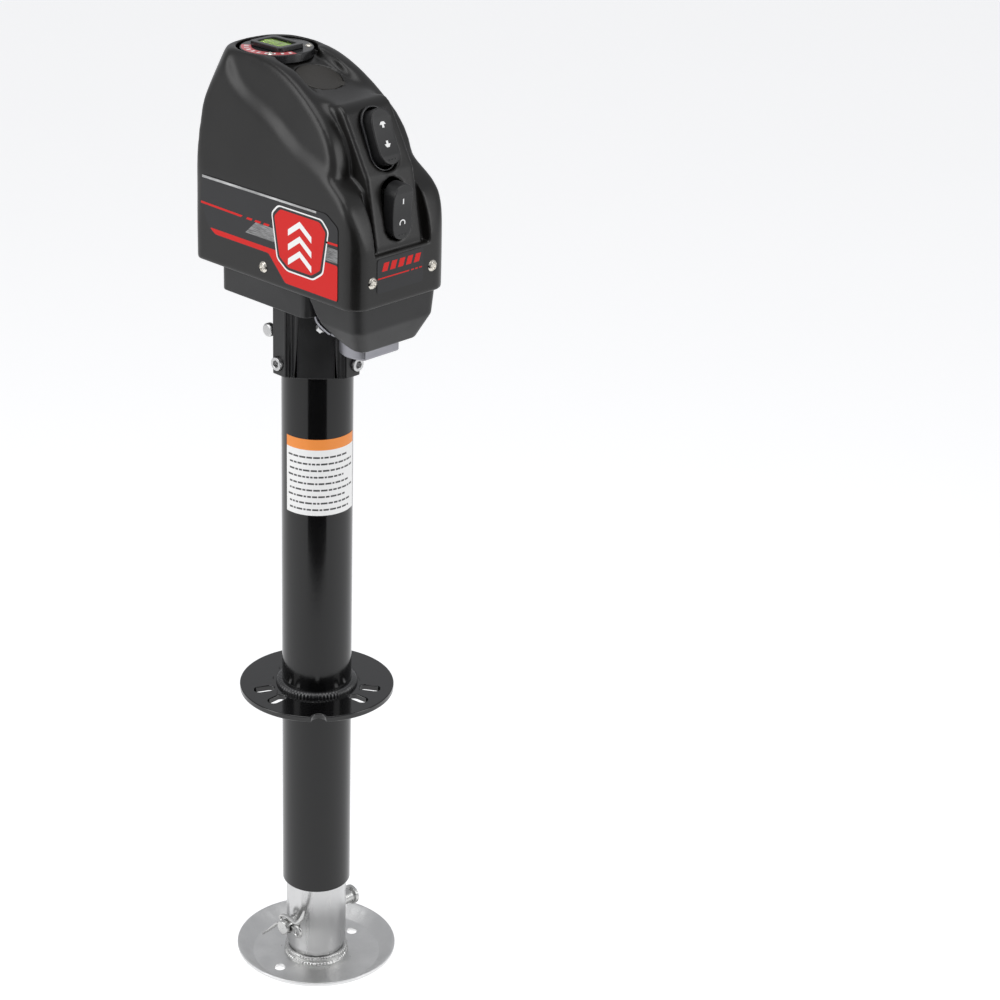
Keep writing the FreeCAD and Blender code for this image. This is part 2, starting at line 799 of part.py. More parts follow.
def housing_lid():
    lid = rounded_box(-case_half, case_half, case_front, case_back, case_top, lid_top, case_corner)
    lid = lid.cut(rod(journal_radius + 3, case_top - 1, lid_top + 1))
    lid = lid.cut(rod(cluster_shaft_radius + run_gap, case_top - 1, lid_top + 1, cluster_x, cluster_y))
    for x, y in lid_screw_places():
        lid = lid.cut(rod(2.2, case_top - 1, lid_top + 1, x, y))
    return lid


def lid_screws():
    return Part.makeCompound([pan_screw(3.6, 2.2, 1.6, 11, (x, y, lid_top), Z)
                              for x, y in lid_screw_places()])


def screw_bush():
    return ring(journal_radius + 3, journal_radius + run_gap, case_top, lid_top)


def set_screw_places():
    start = -collar_boss - set_screw_proud
    return [((start, 2.5, set_screw_height), X), ((5.0, start, set_screw_height), Y)]


def set_screws():
    screws = []
    for start, inward in set_screw_places():
        reach = collar_boss + set_screw_proud - tube_radius - 1.6
        screw = rod_along(set_screw_radius - slip_gap / 2, start, inward, reach)
        screws.append(screw.cut(hex_rod(set_screw_hex, start, inward, 4.0)))
    return Part.makeCompound(screws)


def collar_bolt():
    seat = (-collar_radius, bolt_offset, bolt_height)
    bolt = rod_along(bolt_radius, (seat[0] - 5.0, seat[1], seat[2]), X, 4.6)
    rim = [e for e in bolt.Edges if e.BoundBox.XMax < seat[0] - 4.9]
    bolt = bolt.makeFillet(1.6, rim)
    return bolt.fuse(rod_along(bolt_radius - 1.6, (seat[0] - 1, seat[1], seat[2]), X, 6.0))


def cord_grommet():
    sleeve = ring(cord_hole_radius + grommet_wall, cord_hole_radius, case_bottom, case_bottom + case_floor,
                  *cord_place)
    rim = ring(cord_hole_radius + 3.5, cord_hole_radius, case_bottom - 2, case_bottom, *cord_place)
    return sleeve.fuse(rim)


# ---------------------------------------------------------------- shroud over the motor
def shroud_form(inset):
    """Tapered tub: wide under the cover, narrow at the toe."""
    sections = []
    levels = ((tray_bottom + inset, shroud_half, shroud_front),
              (case_bottom, shroud_half - 2.5, shroud_front + 1.5),
              (shroud_bottom - 2, shroud_toe_half + 5, shroud_toe_front))
    r = shroud_corner
    k = r * (1 - math.sqrt(0.5))
    for z, outer_half, outer_front in levels:
        half, front = outer_half - inset, outer_front + inset
        dots = [(half, shroud_back), (half, front + r), (half - r, front), (r - half, front),
                (-half, front + r), (-half, shroud_back)]
        a, b, c, d, e, f = [Vector(x, y, z) for x, y in dots]
        sections.append(Part.Wire([
            Part.LineSegment(a, b).toShape(),
            Part.Arc(b, Vector(half - k, front + k, z), c).toShape(),
            Part.LineSegment(c, d).toShape(),
            Part.Arc(d, Vector(-half + k, front + k, z), e).toShape(),
            Part.LineSegment(e, f).toShape(),
            Part.LineSegment(f, a).toShape(),
        ]))
    return Part.makeLoft(sections, True, True)


def motor_shroud():
    tub = shroud_form(0).cut(shroud_form(shroud_wall))
    high = tray_bottom + 1
    edge = case_step - 0.5
    away = side_prism([
        [(edge, high), (edge, 619)],
        [(edge, 619), (-42.5, 607), (-58, 591), (-72, 584), (-92, shroud_bottom)],
        [(-92, shroud_bottom), (-92, 560)],
        [(-92, 560), (0, 560)],
        [(0, 560), (0, high)],
        [(0, high), (edge, high)],
    ], 60)
    return tub.cut(away)


# ---------------------------------------------------------------- cover
def crown_profile(low):
    """Side outline of the tall body with the two humps that run down beside the console."""
    return [
        [(cover_back, low), (cover_back, waist_height)],
        [(cover_back, waist_height), (crown_back, crown_height - 6)],
        [(crown_back, crown_height - 6), (crown_back - 6, crown_height)],
        [(crown_back - 6, crown_height), (43, crown_height)],
        [(43, crown_height), (-2, 782), (-31, 765), (-52, 746), (-62, 722)],
        [(-62, 722), (-66, low)],
        [(-66, low), (cover_back, low)],
    ]


def shoulder_profile(low):
    """Side outline of the wide body, which falls from the back of the crown to the front shoulders."""
    return [
        [(cover_back, low), (cover_back, waist_height)],
        [(cover_back, waist_height), (crown_back, crown_height - 6)],
        [(crown_back, crown_height - 6), (crown_back - 6, crown_height)],
        [(crown_back - 6, crown_height), (64, crown_height)],
        [(64, crown_height), (44, 763), (10, 749.5), (-23, 731), (-46, 723), (-66, 713), (-81, 701),
         (-90, 684), (cover_front, 664)],
        [(cover_front, 664), (cover_front, low)],
        [(cover_front, low), (cover_back, low)],
    ]


def console_line():
    """Centre line of the top, from the trough behind the plug down to the ledge under the switches."""
    return [
        [(36, 783), (8, 777.5), (-16, 769.9), (-44, 766)],
        [(-44, 766), (-50.5, 764.2), (-55, 760)],
        [(-55, 760), console_step],
        [console_step, console_ledge],
    ]


def lean_prism(low_half, high_half):
    """Prism along Y whose sides lean inwards above the waist."""
    dots = [(-low_half, cover_bottom - 10), (low_half, cover_bottom - 10), (low_half, waist_height),
            (high_half, crown_height), (high_half, crown_height + 10), (-high_half, crown_height + 10),
            (-high_half, crown_height), (-low_half, waist_height)]
    wire = Part.makePolygon([Vector(x, -120, z) for x, z in dots + dots[:1]])
    return Part.Face(wire).extrude(Vector(0, 240, 0))


def plan_prism(inset):
    half, front, back = cover_half - inset, cover_front + inset, cover_back - inset
    body = block(-half, half, front, back, cover_bottom - 10, crown_height + 10)
    upright = [e for e in body.Edges if abs(e.tangentAt(e.FirstParameter).z) > 0.9]
    fore = [e for e in upright if e.BoundBox.YMax < 0]
    body = body.makeFillet(corner_front - inset, fore)
    upright = [e for e in body.Edges if abs(e.tangentAt(e.FirstParameter).z) > 0.9 and e.BoundBox.YMin > 0
               and e.BoundBox.DiagonalLength > 100]
    return body.makeFillet(corner_back - inset, upright)


def crown_cone(inset):
    """Rounds the back of the crown so that it is concentric with the level at the top."""
    low, high = waist_height - 30, crown_height + 10
    spread = 0.44
    cone = Part.makeCone(crown_half + 0.6 - inset + spread * (crown_height - low),
                         crown_half + 0.6 - inset - spread * (high - crown_height), high - low,
                         Vector(0, level_centre, low))
    lower = block(-80, 80, -120, 120, cover_bottom - 10, low)
    ahead = block(-80, 80, -120, level_centre, low, high)
    return fused([cone, lower, ahead])


def above(line, half, growth):
    """Everything above a side line, as a prism across X."""
    (y0, z0), (y1, z1) = line[0][0], line[-1][-1]
    high, far = crown_height + 40, cover_front - 30
    parts = line + [[(y1, z1), (far, z1)], [(far, z1), (far, high)],
                    [(far, high), (y0, high)], [(y0, high), (y0, z0)]]
    return side_prism(parts, half + growth, growth)


def below(line, half, inset, low):
    """The console body under a side line."""
    (y0, z0), (y1, z1) = line[0][0], line[-1][-1]
    parts = line + [[(y1, z1), (y1 + 2, z1 - 4)], [(y1 + 2, z1 - 4), (y1 + 2, low)],
                    [(y1 + 2, low), (y0, low)], [(y0, low), (y0, z0)]]
    return side_prism(parts, half - inset, -inset)


def cover_form(inset, low):
    crown = side_prism(crown_profile(low), 80, -inset)
    shoulder = side_prism(shoulder_profile(low), 80, -inset)
    wide = lean_prism(cover_half - inset, crown_half - inset)
    narrow = lean_prism(hump_half - inset, crown_half - hump_step - inset)
    body = crown.common(narrow).fuse(shoulder.common(wide))
    body = body.common(plan_prism(inset)).common(crown_cone(inset))
    line = console_line()
    body = body.cut(above(line, trough_half, inset))
    front = [part for part in line if part[0][0] < -43]
    sunk = above(front, console_half + groove_width, inset)
    sunk.translate(Vector(0, groove_depth * 0.8, -groove_depth * 0.5))
    body = body.cut(sunk)
    return body.fuse(below(line, console_half, inset, low))


def plug_frame(shape):
    return on_slope(shape, *plug_place, plug_slope)


def upper_switch_frame(shape, turn=0.0):
    return on_slope(shape, *upper_place, upper_slope, turn)


def lower_switch_frame(shape, turn=0.0):
    return on_slope(shape, *lower_place, lower_slope, turn)


def cover():
    solid = cover_form(0, cover_bottom)
    shell = solid.cut(cover_form(cover_wall, cover_bottom - 20))
    floor = level_top - level_thickness
    shell = shell.fuse(rod(level_radius + level_moat + 2, floor - 3, floor, 0, level_centre).common(solid))
    pad = oval(boot_flange_width + 6, boot_flange_length + 6, 12, -cover_wall)
    shell = shell.fuse(upper_switch_frame(pad).common(solid))
    recess = oval(boot_flange_width + 2 * boot_gap, boot_flange_length + 2 * boot_gap, 30)
    shell = shell.cut(upper_switch_frame(recess)).cut(lower_switch_frame(recess))
    shell = shell.cut(rod(level_radius + level_moat, floor, crown_height + 20, 0, level_centre))
    shell = shell.cut(plug_frame(rod(plug_radius + clear_gap, -plug_head, 20)))
    rim = plug_frame(ring(plug_radius + 2, plug_stem_radius + plug_fit, -plug_head - 3, -plug_head))
    shell = shell.fuse(rim).cut(plug_frame(rod(plug_stem_radius + plug_fit, -30, 20)))
    opening = oval(boot_width + 2 * boot_end_gap, boot_length + 2 * boot_end_gap, 30, -20)
    shell = shell.cut(upper_switch_frame(opening)).cut(lower_switch_frame(opening))
    for seat, direction in cover_screw_places():
        back = seat - direction * 6
        shell = shell.cut(Part.makeCylinder(cover_screw_radius + slip_gap, 12, back, direction))
    return shell


def cover_screw_places():
    """Seat and outward direction of each screw: one on either side and two in front."""
    sides = [(Vector(side * cover_half, 8, 633), X * side) for side in (-1, 1)]
    front = [(Vector(side * 31, cover_front, 641.5), -Y) for side in (-1, 1)]
    return sides + front


def cover_screws():
    return Part.makeCompound([pan_screw(4.6, 2.4, cover_screw_radius, cover_screw_length, seat, way)
                              for seat, way in cover_screw_places()])


def side_decals():
    dots = [(78.5, waist_height), (-62.5, waist_height), (-75.5, 684), (-75.5, 625.5), (-17, 625.5),
            (2, 645), (64, 645), (71, 650), (80.5, 667.5)]
    decals = []
    for side in (-1, 1):
        start = side * (cover_half + skin_gap)
        wire = Part.makePolygon([Vector(start, y, z) for y, z in dots + dots[:1]])
        decals.append(Part.Face(wire).extrude(X * side * decal_thickness))
    return Part.makeCompound(decals)


def front_decal():
    face = cover_front - skin_gap
    return block(-26.5, 21, face - decal_thickness, face, 632, 658.5)


# ---------------------------------------------------------------- level, plug and switches
def level_block(width, length, low, high, corner):
    """Upright block with rounded corners, centred on the level."""
    return rounded_box(-width / 2, width / 2, level_centre - length / 2, level_centre + length / 2,
                       low, high, corner)


def level_plate():
    plate = rod(level_radius, level_top - level_thickness, level_top, 0, level_centre)
    rim = [e for e in plate.Edges if e.BoundBox.ZMin > level_top - 0.01]
    plate = plate.makeFillet(0.8, rim)
    plate = plate.cut(level_block(window_width, window_length, level_top - vial_depth, level_top + 1, 2.0))
    for side in (-1, 1):
        plate = plate.cut(rod(1.2, level_top - 4, level_top + 1, side * level_screw_x, level_screw_y))
    return plate


def level_bezel():
    outer = level_block(bezel_width, bezel_length, level_top, bezel_top, 4.0)
    return outer.cut(level_block(window_width, window_length, level_top - 1, bezel_top + 1, 2.0))


def level_vial():
    size = (window_width - 2 * slip_gap, window_length - 2 * slip_gap)
    return level_block(*size, level_top - vial_depth, bezel_top - 0.8, 1.8).cut(level_bubble())


def level_bubble():
    ball = Part.makeSphere(3.4, Vector(0, level_centre, bezel_top - 3.4))
    return ball.common(rod(5, bezel_top - 5.0, bezel_top - 1.6, 0, level_centre))


def level_screws():
    seats = [(side * level_screw_x, level_screw_y, level_top) for side in (-1, 1)]
    return Part.makeCompound([pan_screw(3.0, 1.4, 1.2, 3.0, seat, Z) for seat in seats])


def override_plug():
    head = rod(plug_radius, -plug_head, 0.5)
    rim = [e for e in head.Edges if e.BoundBox.ZMin > 0.49]
    head = head.makeFillet(1.2, rim)
    stem = ring(plug_stem_radius, plug_stem_radius - plug_wall, -plug_head - plug_stem, -plug_head)
    return plug_frame(head.fuse(stem))


def boot_flange():
    body = oval(boot_flange_width, boot_flange_length, boot_flange_height)
    return body.cut(oval(boot_width + 2 * boot_gap, boot_length + 2 * boot_end_gap, 30, -10))


def boot_cap(stand):
    """Rubber boot over a rocker: hollow oval cap with a shallow valley across its face."""
    cap = oval(boot_width, boot_length, stand + 3, -3)
    valley = Part.makeCylinder(90, 60, Vector(-30, 0, stand + 88.8), X)
    cap = cap.cut(valley)
    return cap.cut(oval(boot_width - 2 * boot_wall, boot_length - 2 * boot_wall, stand + 4 - boot_roof, -4))


def rocker_core(stand):
    """Switch actuator inside the boot, hinged on its own pin in the switch body."""
    top = stand - boot_roof
    half = cheek_inner - clear_gap
    pin_half = cheek_outer - slip_gap
    core = block(-half, half, -14, 14, -2.0, top)
    pin = rod_along(rocker_pin_radius, (-pin_half, 0, 0), X, 2 * pin_half)
    return core.fuse(pin)


def switch_body():
    """Fixed switch body behind the panel, with two cheeks that hold the rocker's pin."""
    half = switch_body_width / 2
    length = switch_body_length / 2
    box = block(-half, half, -length, length, -switch_slack - switch_body_depth, -switch_slack)
    cheeks = []
    for side in (-1, 1):
        inner, outer = sorted((side * cheek_inner, side * cheek_outer))
        cheek = block(inner, outer, -4, 4, -switch_slack, 2.6)
        cheeks.append(cheek.cut(rod_along(rocker_pin_radius + run_gap, (-10, 0, 0), X, 20)))
    return fused([box] + cheeks)


def lower_nodes():
    """Foot, ram, tube and leadscrew, drawn at their own heights."""
    return {
        "foot_pan": foot_pan(), "foot_ring": foot_ring(), "foot_spigot": foot_spigot(),
        "clevis_pin": clevis_pin(), "cotter_pin": cotter_pin(), "ram_tube": ram_tube(),
        "ram_guide": ram_guide(), "screw_nut": screw_nut(), "outer_tube": outer_tube(),
        "tube_bush": tube_bush(), "mounting_flange": mounting_flange(), "flange_weld": flange_weld(),
        "tube_label": tube_label(), "leadscrew": leadscrew(), "screw_stop": screw_stop(),
    }


def head_nodes():
    """Everything on top of the tube, drawn about seat_height."""
    flanges = [upper_switch_frame(boot_flange()), lower_switch_frame(boot_flange())]
    switches = [upper_switch_frame(switch_body()), lower_switch_frame(switch_body())]
    return {
        "lower_race": race(race_low, journal_radius), "upper_race": race(race_high, journal_radius + 0.5),
        "bearing_balls": bearing_balls(), "bearing_cage": bearing_cage(), "output_gear": output_gear(),
        "screw_circlip": screw_circlip(), "crank_socket": crank_socket(), "cross_pin": cross_pin(),
        "cluster_gear": cluster_gear(), "cluster_pinion": cluster_pinion(), "cluster_shaft": cluster_shaft(),
        "motor_can": motor_can(), "motor_bell": motor_bell(), "motor_magnets": motor_magnets(),
        "motor_shaft": motor_shaft(), "armature": armature(), "commutator": commutator(),
        "motor_brushes": motor_brushes(), "motor_pinion": motor_pinion(), "motor_cradle": motor_cradle(),
        "cradle_bolts": cradle_bolts(), "gear_housing": gear_housing(), "housing_lid": housing_lid(),
        "lid_screws": lid_screws(), "screw_bush": screw_bush(), "set_screws": set_screws(),
        "collar_bolt": collar_bolt(), "cord_grommet": cord_grommet(), "motor_shroud": motor_shroud(),
        "cover": cover(), "cover_screws": cover_screws(), "side_decals": side_decals(),
        "front_decal": front_decal(), "level_plate": level_plate(), "level_bezel": level_bezel(),
        "level_vial": level_vial(), "level_bubble": level_bubble(), "level_screws": level_screws(),
        "override_plug": override_plug(), "boot_flanges": Part.makeCompound(flanges),
        "upper_boot": upper_switch_frame(boot_cap(upper_stand)),
        "lower_boot": lower_switch_frame(boot_cap(lower_stand), lower_tilt),
        "upper_rocker": upper_switch_frame(rocker_core(upper_stand)),
        "lower_rocker": lower_switch_frame(rocker_core(lower_stand), lower_tilt),
        "switch_bodies": Part.makeCompound(switches),
    }


def build():
    nodes = lower_nodes()
    for name, shape in head_nodes().items():
        shape.translate(Vector(0, 0, head_lift))
        nodes[name] = shape
    return nodes


os.makedirs("parts", exist_ok=True)
for name, shape in build().items():
    shape.exportStep("parts/" + name + ".step")
    print(name, len(shape.Solids), round(shape.Volume, 1), shape.isValid())
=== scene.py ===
import bpy, bmesh, json, math, random
from mathutils import Matrix, Quaternion, Vector


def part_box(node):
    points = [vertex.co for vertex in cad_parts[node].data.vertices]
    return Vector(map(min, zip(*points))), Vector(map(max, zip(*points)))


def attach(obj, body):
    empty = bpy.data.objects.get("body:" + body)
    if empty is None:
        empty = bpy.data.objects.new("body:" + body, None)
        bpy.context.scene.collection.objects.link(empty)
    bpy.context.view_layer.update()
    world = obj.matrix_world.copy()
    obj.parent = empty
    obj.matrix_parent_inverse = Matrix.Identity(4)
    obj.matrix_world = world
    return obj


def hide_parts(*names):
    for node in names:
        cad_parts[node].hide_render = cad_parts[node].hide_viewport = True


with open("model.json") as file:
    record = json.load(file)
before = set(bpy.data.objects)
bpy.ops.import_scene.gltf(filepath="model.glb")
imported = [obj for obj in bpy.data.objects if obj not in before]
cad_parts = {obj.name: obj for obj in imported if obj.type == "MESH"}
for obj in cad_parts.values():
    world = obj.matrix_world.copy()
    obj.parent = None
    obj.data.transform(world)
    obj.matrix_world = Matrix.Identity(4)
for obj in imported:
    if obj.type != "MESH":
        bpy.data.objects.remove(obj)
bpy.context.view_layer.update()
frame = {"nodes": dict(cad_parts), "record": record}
nodes = frame["nodes"]
mm = 0.001
zAxis = Vector((0, 0, 1))
print("frame loaded")


# shader building

def newMaterial(name, color=(0.5, 0.5, 0.5), roughness=0.5, metallic=0.0, **fixed):
    surface = bpy.data.materials.new(name)
    surface.use_nodes = True
    shader = surface.node_tree.nodes["Principled BSDF"]
    shader.inputs["Base Color"].default_value = (*color, 1)
    shader.inputs["Roughness"].default_value = roughness
    shader.inputs["Metallic"].default_value = metallic
    for socket, value in fixed.items():
        shader.inputs[socket.replace("_", " ")].default_value = value
    return surface


def addNode(tree, kind, **inputs):
    node = tree.nodes.new(kind)
    for socket, value in inputs.items():
        node.inputs[socket.replace("_", " ")].default_value = value
    return node


def newGroup(name, inputs, outputs):
    group = bpy.data.node_groups.new(name, "ShaderNodeTree")
    for socket, kind, value in inputs:
        made = group.interface.new_socket(socket, in_out="INPUT", socket_type=kind)
        if value is not None:
            made.default_value = value
    for socket, kind in outputs:
        group.interface.new_socket(socket, in_out="OUTPUT", socket_type=kind)
    return group, group.nodes.new("NodeGroupInput"), group.nodes.new("NodeGroupOutput")


def mathNode(tree, operation, first, second=None):
    node = tree.nodes.new("ShaderNodeMath")
    node.operation = operation
    for k, value in enumerate((first, second)):
        if isinstance(value, (int, float)):
            node.inputs[k].default_value = value
        elif value is not None:
            tree.links.new(value, node.inputs[k])
    return node.outputs[0]


def remap(tree, value, fromLow, fromHigh, toLow, toHigh):
    node = addNode(tree, "ShaderNodeMapRange", From_Min=fromLow, From_Max=fromHigh)
    tree.links.new(value, node.inputs["Value"])
    for socket, bound in (("To Min", toLow), ("To Max", toHigh)):
        if isinstance(bound, (int, float)):
            node.inputs[socket].default_value = bound
        else:
            tree.links.new(bound, node.inputs[socket])
    return node.outputs["Result"]


def buildGrainGroup():
    # fine relief, a slow drift in tone, and a scatter of small marks
    group, given, result = newGroup("surfaceGrain", [
        ("Grain Size", "NodeSocketFloat", 900.0), ("Drift Size", "NodeSocketFloat", 22.0),
        ("Stretch", "NodeSocketFloat", 1.0), ("Mark Amount", "NodeSocketFloat", 0.5),
    ], [("Height", "NodeSocketFloat"), ("Drift", "NodeSocketFloat"), ("Marks", "NodeSocketFloat")])
    link = group.links.new
    place = group.nodes.new("ShaderNodeTexCoord").outputs["Object"]
    scaled = group.nodes.new("ShaderNodeCombineXYZ")
    scaled.inputs[0].default_value = 1.0
    scaled.inputs[1].default_value = 1.0
    link(given.outputs["Stretch"], scaled.inputs[2])
    along = group.nodes.new("ShaderNodeVectorMath")
    along.operation = "MULTIPLY"
    link(place, along.inputs[0])
    link(scaled.outputs[0], along.inputs[1])
    fine = addNode(group, "ShaderNodeTexNoise", Detail=3.0, Roughness=0.6)
    link(along.outputs[0], fine.inputs["Vector"])
    link(given.outputs["Grain Size"], fine.inputs["Scale"])
    slow = addNode(group, "ShaderNodeTexNoise", Detail=4.0, Roughness=0.55)
    link(along.outputs[0], slow.inputs["Vector"])
    link(given.outputs["Drift Size"], slow.inputs["Scale"])
    specks = addNode(group, "ShaderNodeTexNoise", Scale=420.0, Detail=1.0, Roughness=0.5)
    link(place, specks.inputs["Vector"])
    spread = remap(group, specks.outputs["Fac"], 0.66, 0.76, 0.0, given.outputs["Mark Amount"])
    link(fine.outputs["Fac"], result.inputs["Height"])
    link(slow.outputs["Fac"], result.inputs["Drift"])
    link(spread, result.inputs["Marks"])
    return group


grainGroup = buildGrainGroup()


def grainedMaterial(name, color, roughness, metallic=0.0, look=None, **fixed):
    # color and roughness drift over the surface, and the grain gives a shallow bump
    look = {"grain": 900.0, "drift": 22.0, "stretch": 1.0, "marks": 0.3, "bump": 0.05,
            "depth": 0.0002, "toneSpread": 0.25, "roughSpread": 0.1, **(look or {})}
    surface = newMaterial(name, color, roughness, metallic, **fixed)
    tree = surface.node_tree
    shader = tree.nodes["Principled BSDF"]
    grain = tree.nodes.new("ShaderNodeGroup")
    grain.node_tree = grainGroup
    grain.inputs["Grain Size"].default_value = look["grain"]
    grain.inputs["Drift Size"].default_value = look["drift"]
    grain.inputs["Stretch"].default_value = look["stretch"]
    grain.inputs["Mark Amount"].default_value = look["marks"]
    tone = tree.nodes.new("ShaderNodeMix")
    tone.data_type = "RGBA"
    tone.inputs["A"].default_value = (*[c * (1 - look["toneSpread"]) for c in color], 1)
    tone.inputs["B"].default_value = (*[min(1.0, c * (1 + look["toneSpread"])) for c in color], 1)
    tree.links.new(grain.outputs["Drift"], tone.inputs["Factor"])
    tree.links.new(tone.outputs["Result"], shader.inputs["Base Color"])
    low, high = roughness - look["roughSpread"], roughness + look["roughSpread"]
    rough = remap(tree, grain.outputs["Drift"], 0.3, 0.7, low, high)
    rough = mathNode(tree, "ADD", rough, mathNode(tree, "MULTIPLY", grain.outputs["Marks"], 0.2))
    tree.links.new(rough, shader.inputs["Roughness"])
    bump = addNode(tree, "ShaderNodeBump", Strength=look["bump"], Distance=look["depth"])
    tree.links.new(grain.outputs["Height"], bump.inputs["Height"])
    tree.links.new(bump.outputs["Normal"], shader.inputs["Normal"])
    return surface


def buildMaterials():
    made = {
        "coverPlastic": grainedMaterial(
            "satin_cover_plastic", (0.0062, 0.0058, 0.0054), 0.31, Specular_IOR_Level=0.42,
            look={"grain": 1500.0, "bump": 0.22, "depth": 0.0001, "roughSpread": 0.03}),
        "shroudPlastic": grainedMaterial(
            "satin_shroud_plastic", (0.01, 0.01, 0.0103), 0.4, Specular_IOR_Level=0.4,
            look={"grain": 1400.0, "bump": 0.2, "depth": 0.0001}),
        "castPaint": grainedMaterial(
            "painted_casting", (0.012, 0.012, 0.0125), 0.36, Specular_IOR_Level=0.42,
            look={"bump": 0.35}),
        "tubePaint": grainedMaterial(
            "gloss_tube_paint", (0.003, 0.003, 0.0032), 0.13, Specular_IOR_Level=0.42,
            look={"grain": 260.0, "depth": 0.0003, "roughSpread": 0.03}),
        "flangePaint": grainedMaterial(
            "gloss_flange_paint", (0.003, 0.003, 0.0032), 0.1, Coat_Weight=0.15, Coat_Roughness=0.05,
            look={"grain": 220.0, "bump": 0.14, "depth": 0.0004, "roughSpread": 0.03}),
        "weldPaint": grainedMaterial(
            "painted_weld", (0.006, 0.006, 0.0065), 0.14, Coat_Weight=0.5, Coat_Roughness=0.05,
            look={"grain": 500.0, "bump": 0.5, "depth": 0.0005, "roughSpread": 0.03}),
        "panZinc": grainedMaterial(
            "zinc_foot_plate", (0.72, 0.72, 0.715), 0.42, 1.0,
            look={"grain": 700.0, "drift": 60.0, "bump": 0.6, "depth": 0.0003, "marks": 0.8,
                  "toneSpread": 0.16, "roughSpread": 0.08}),
        "ramZinc": grainedMaterial(
            "drawn_zinc_tube", (0.57, 0.57, 0.57), 0.3, 1.0,
            look={"drift": 130.0, "stretch": 0.05, "bump": 0.12, "toneSpread": 0.08,
                  "roughSpread": 0.05}),
        "weldZinc": grainedMaterial(
            "zinc_weld", (0.6, 0.6, 0.59), 0.26, 1.0,
            look={"grain": 450.0, "drift": 120.0, "bump": 0.8, "depth": 0.0006,
                  "toneSpread": 0.2, "roughSpread": 0.08}),
        "pinZinc": grainedMaterial(
            "zinc_pin", (0.55, 0.55, 0.54), 0.28, 1.0,
            look={"grain": 1200.0, "drift": 150.0, "bump": 0.3, "toneSpread": 0.2,
                  "roughSpread": 0.08}),
        "screwNickel": grainedMaterial(
            "plated_screw", (0.66, 0.63, 0.57), 0.22, 1.0,
            look={"grain": 1500.0, "drift": 300.0, "bump": 0.2, "depth": 0.0001,
                  "toneSpread": 0.15, "roughSpread": 0.06}),
        "boltSteel": grainedMaterial(
            "satin_bolt_steel", (0.56, 0.56, 0.56), 0.32, 1.0,
            look={"grain": 1200.0, "drift": 160.0, "bump": 0.3, "toneSpread": 0.1}),
        "motorSteel": grainedMaterial(
            "matt_motor_steel", (0.3, 0.3, 0.325), 0.38, 0.9,
            look={"grain": 1000.0, "drift": 80.0, "bump": 0.3, "toneSpread": 0.1}),
        "bootRubber": grainedMaterial(
            "switch_boot_rubber", (0.012, 0.012, 0.0125), 0.36, Specular_IOR_Level=0.4,
            look={"grain": 1600.0, "bump": 0.15, "depth": 0.0001, "roughSpread": 0.04}),
        "plugRubber": grainedMaterial(
            "plug_rubber", (0.024, 0.022, 0.019), 0.5, Specular_IOR_Level=0.4,
            look={"grain": 1300.0, "bump": 0.3, "depth": 0.0001}),
        "levelPlastic": grainedMaterial(
            "gloss_level_plastic", (0.012, 0.012, 0.013), 0.22,
            look={"grain": 1200.0, "bump": 0.1, "depth": 0.0001, "roughSpread": 0.04}),
        "innerSteel": grainedMaterial(
            "machined_steel", (0.55, 0.55, 0.55), 0.3, 1.0,
            look={"grain": 1000.0, "bump": 0.2, "toneSpread": 0.1}),
        "innerBronze": grainedMaterial(
            "machined_bronze", (0.6, 0.42, 0.2), 0.3, 1.0,
            look={"grain": 1000.0, "bump": 0.2, "toneSpread": 0.1}),
        "innerNylon": grainedMaterial("bearing_nylon", (0.75, 0.74, 0.68), 0.5, look={"bump": 0.1}),
        "innerMagnet": grainedMaterial("sintered_magnet", (0.05, 0.05, 0.05), 0.6, look={"bump": 0.3}),
        "filmBlack": grainedMaterial(
            "decal_black_film", (0.012, 0.012, 0.0135), 0.34, Specular_IOR_Level=0.4,
            look={"roughSpread": 0.04}),
        "filmRed": grainedMaterial(
            "decal_red_film", (0.58, 0.008, 0.006), 0.36, Specular_IOR_Level=0.25,
            look={"bump": 0.04, "toneSpread": 0.04, "roughSpread": 0.03}),
        "filmWhite": grainedMaterial(
            "decal_white_film", (0.8, 0.8, 0.79), 0.32,
            look={"bump": 0.04, "toneSpread": 0.04, "roughSpread": 0.03}),
        "filmOrange": grainedMaterial(
            "label_orange_film", (0.8, 0.25, 0.035), 0.4,
            look={"bump": 0.04, "toneSpread": 0.04, "roughSpread": 0.03}),
        "printGrey": grainedMaterial(
            "label_print", (0.06, 0.06, 0.06), 0.4,
            look={"bump": 0.04, "toneSpread": 0.1, "roughSpread": 0.03}),
        "labelRose": grainedMaterial(
            "level_label_film", (0.5, 0.1, 0.11), 0.28,
            look={"bump": 0.04, "toneSpread": 0.08, "roughSpread": 0.03}),
        "vialBack": grainedMaterial("vial_backing", (0.34, 0.45, 0.16), 0.35, look={"toneSpread": 0.1}),
    }
    made["filmSilver"] = brushedFilm("decal_silver_film", (0.62, 0.62, 0.62), (0.3, 0.3, 0.3), False)
    made["filmBrushed"] = brushedFilm("decal_brushed_film", (0.36, 0.36, 0.36), (0.06, 0.06, 0.06), True)
    made["vialLiquid"] = newMaterial("vial_liquid", (0.62, 0.86, 0.2), 0.04,
                                     Transmission_Weight=0.75, IOR=1.36)
    made["vialGlass"] = newMaterial("vial_glass", (0.9, 0.98, 0.86), 0.03,
                                    Transmission_Weight=0.95, IOR=1.45)
    return made


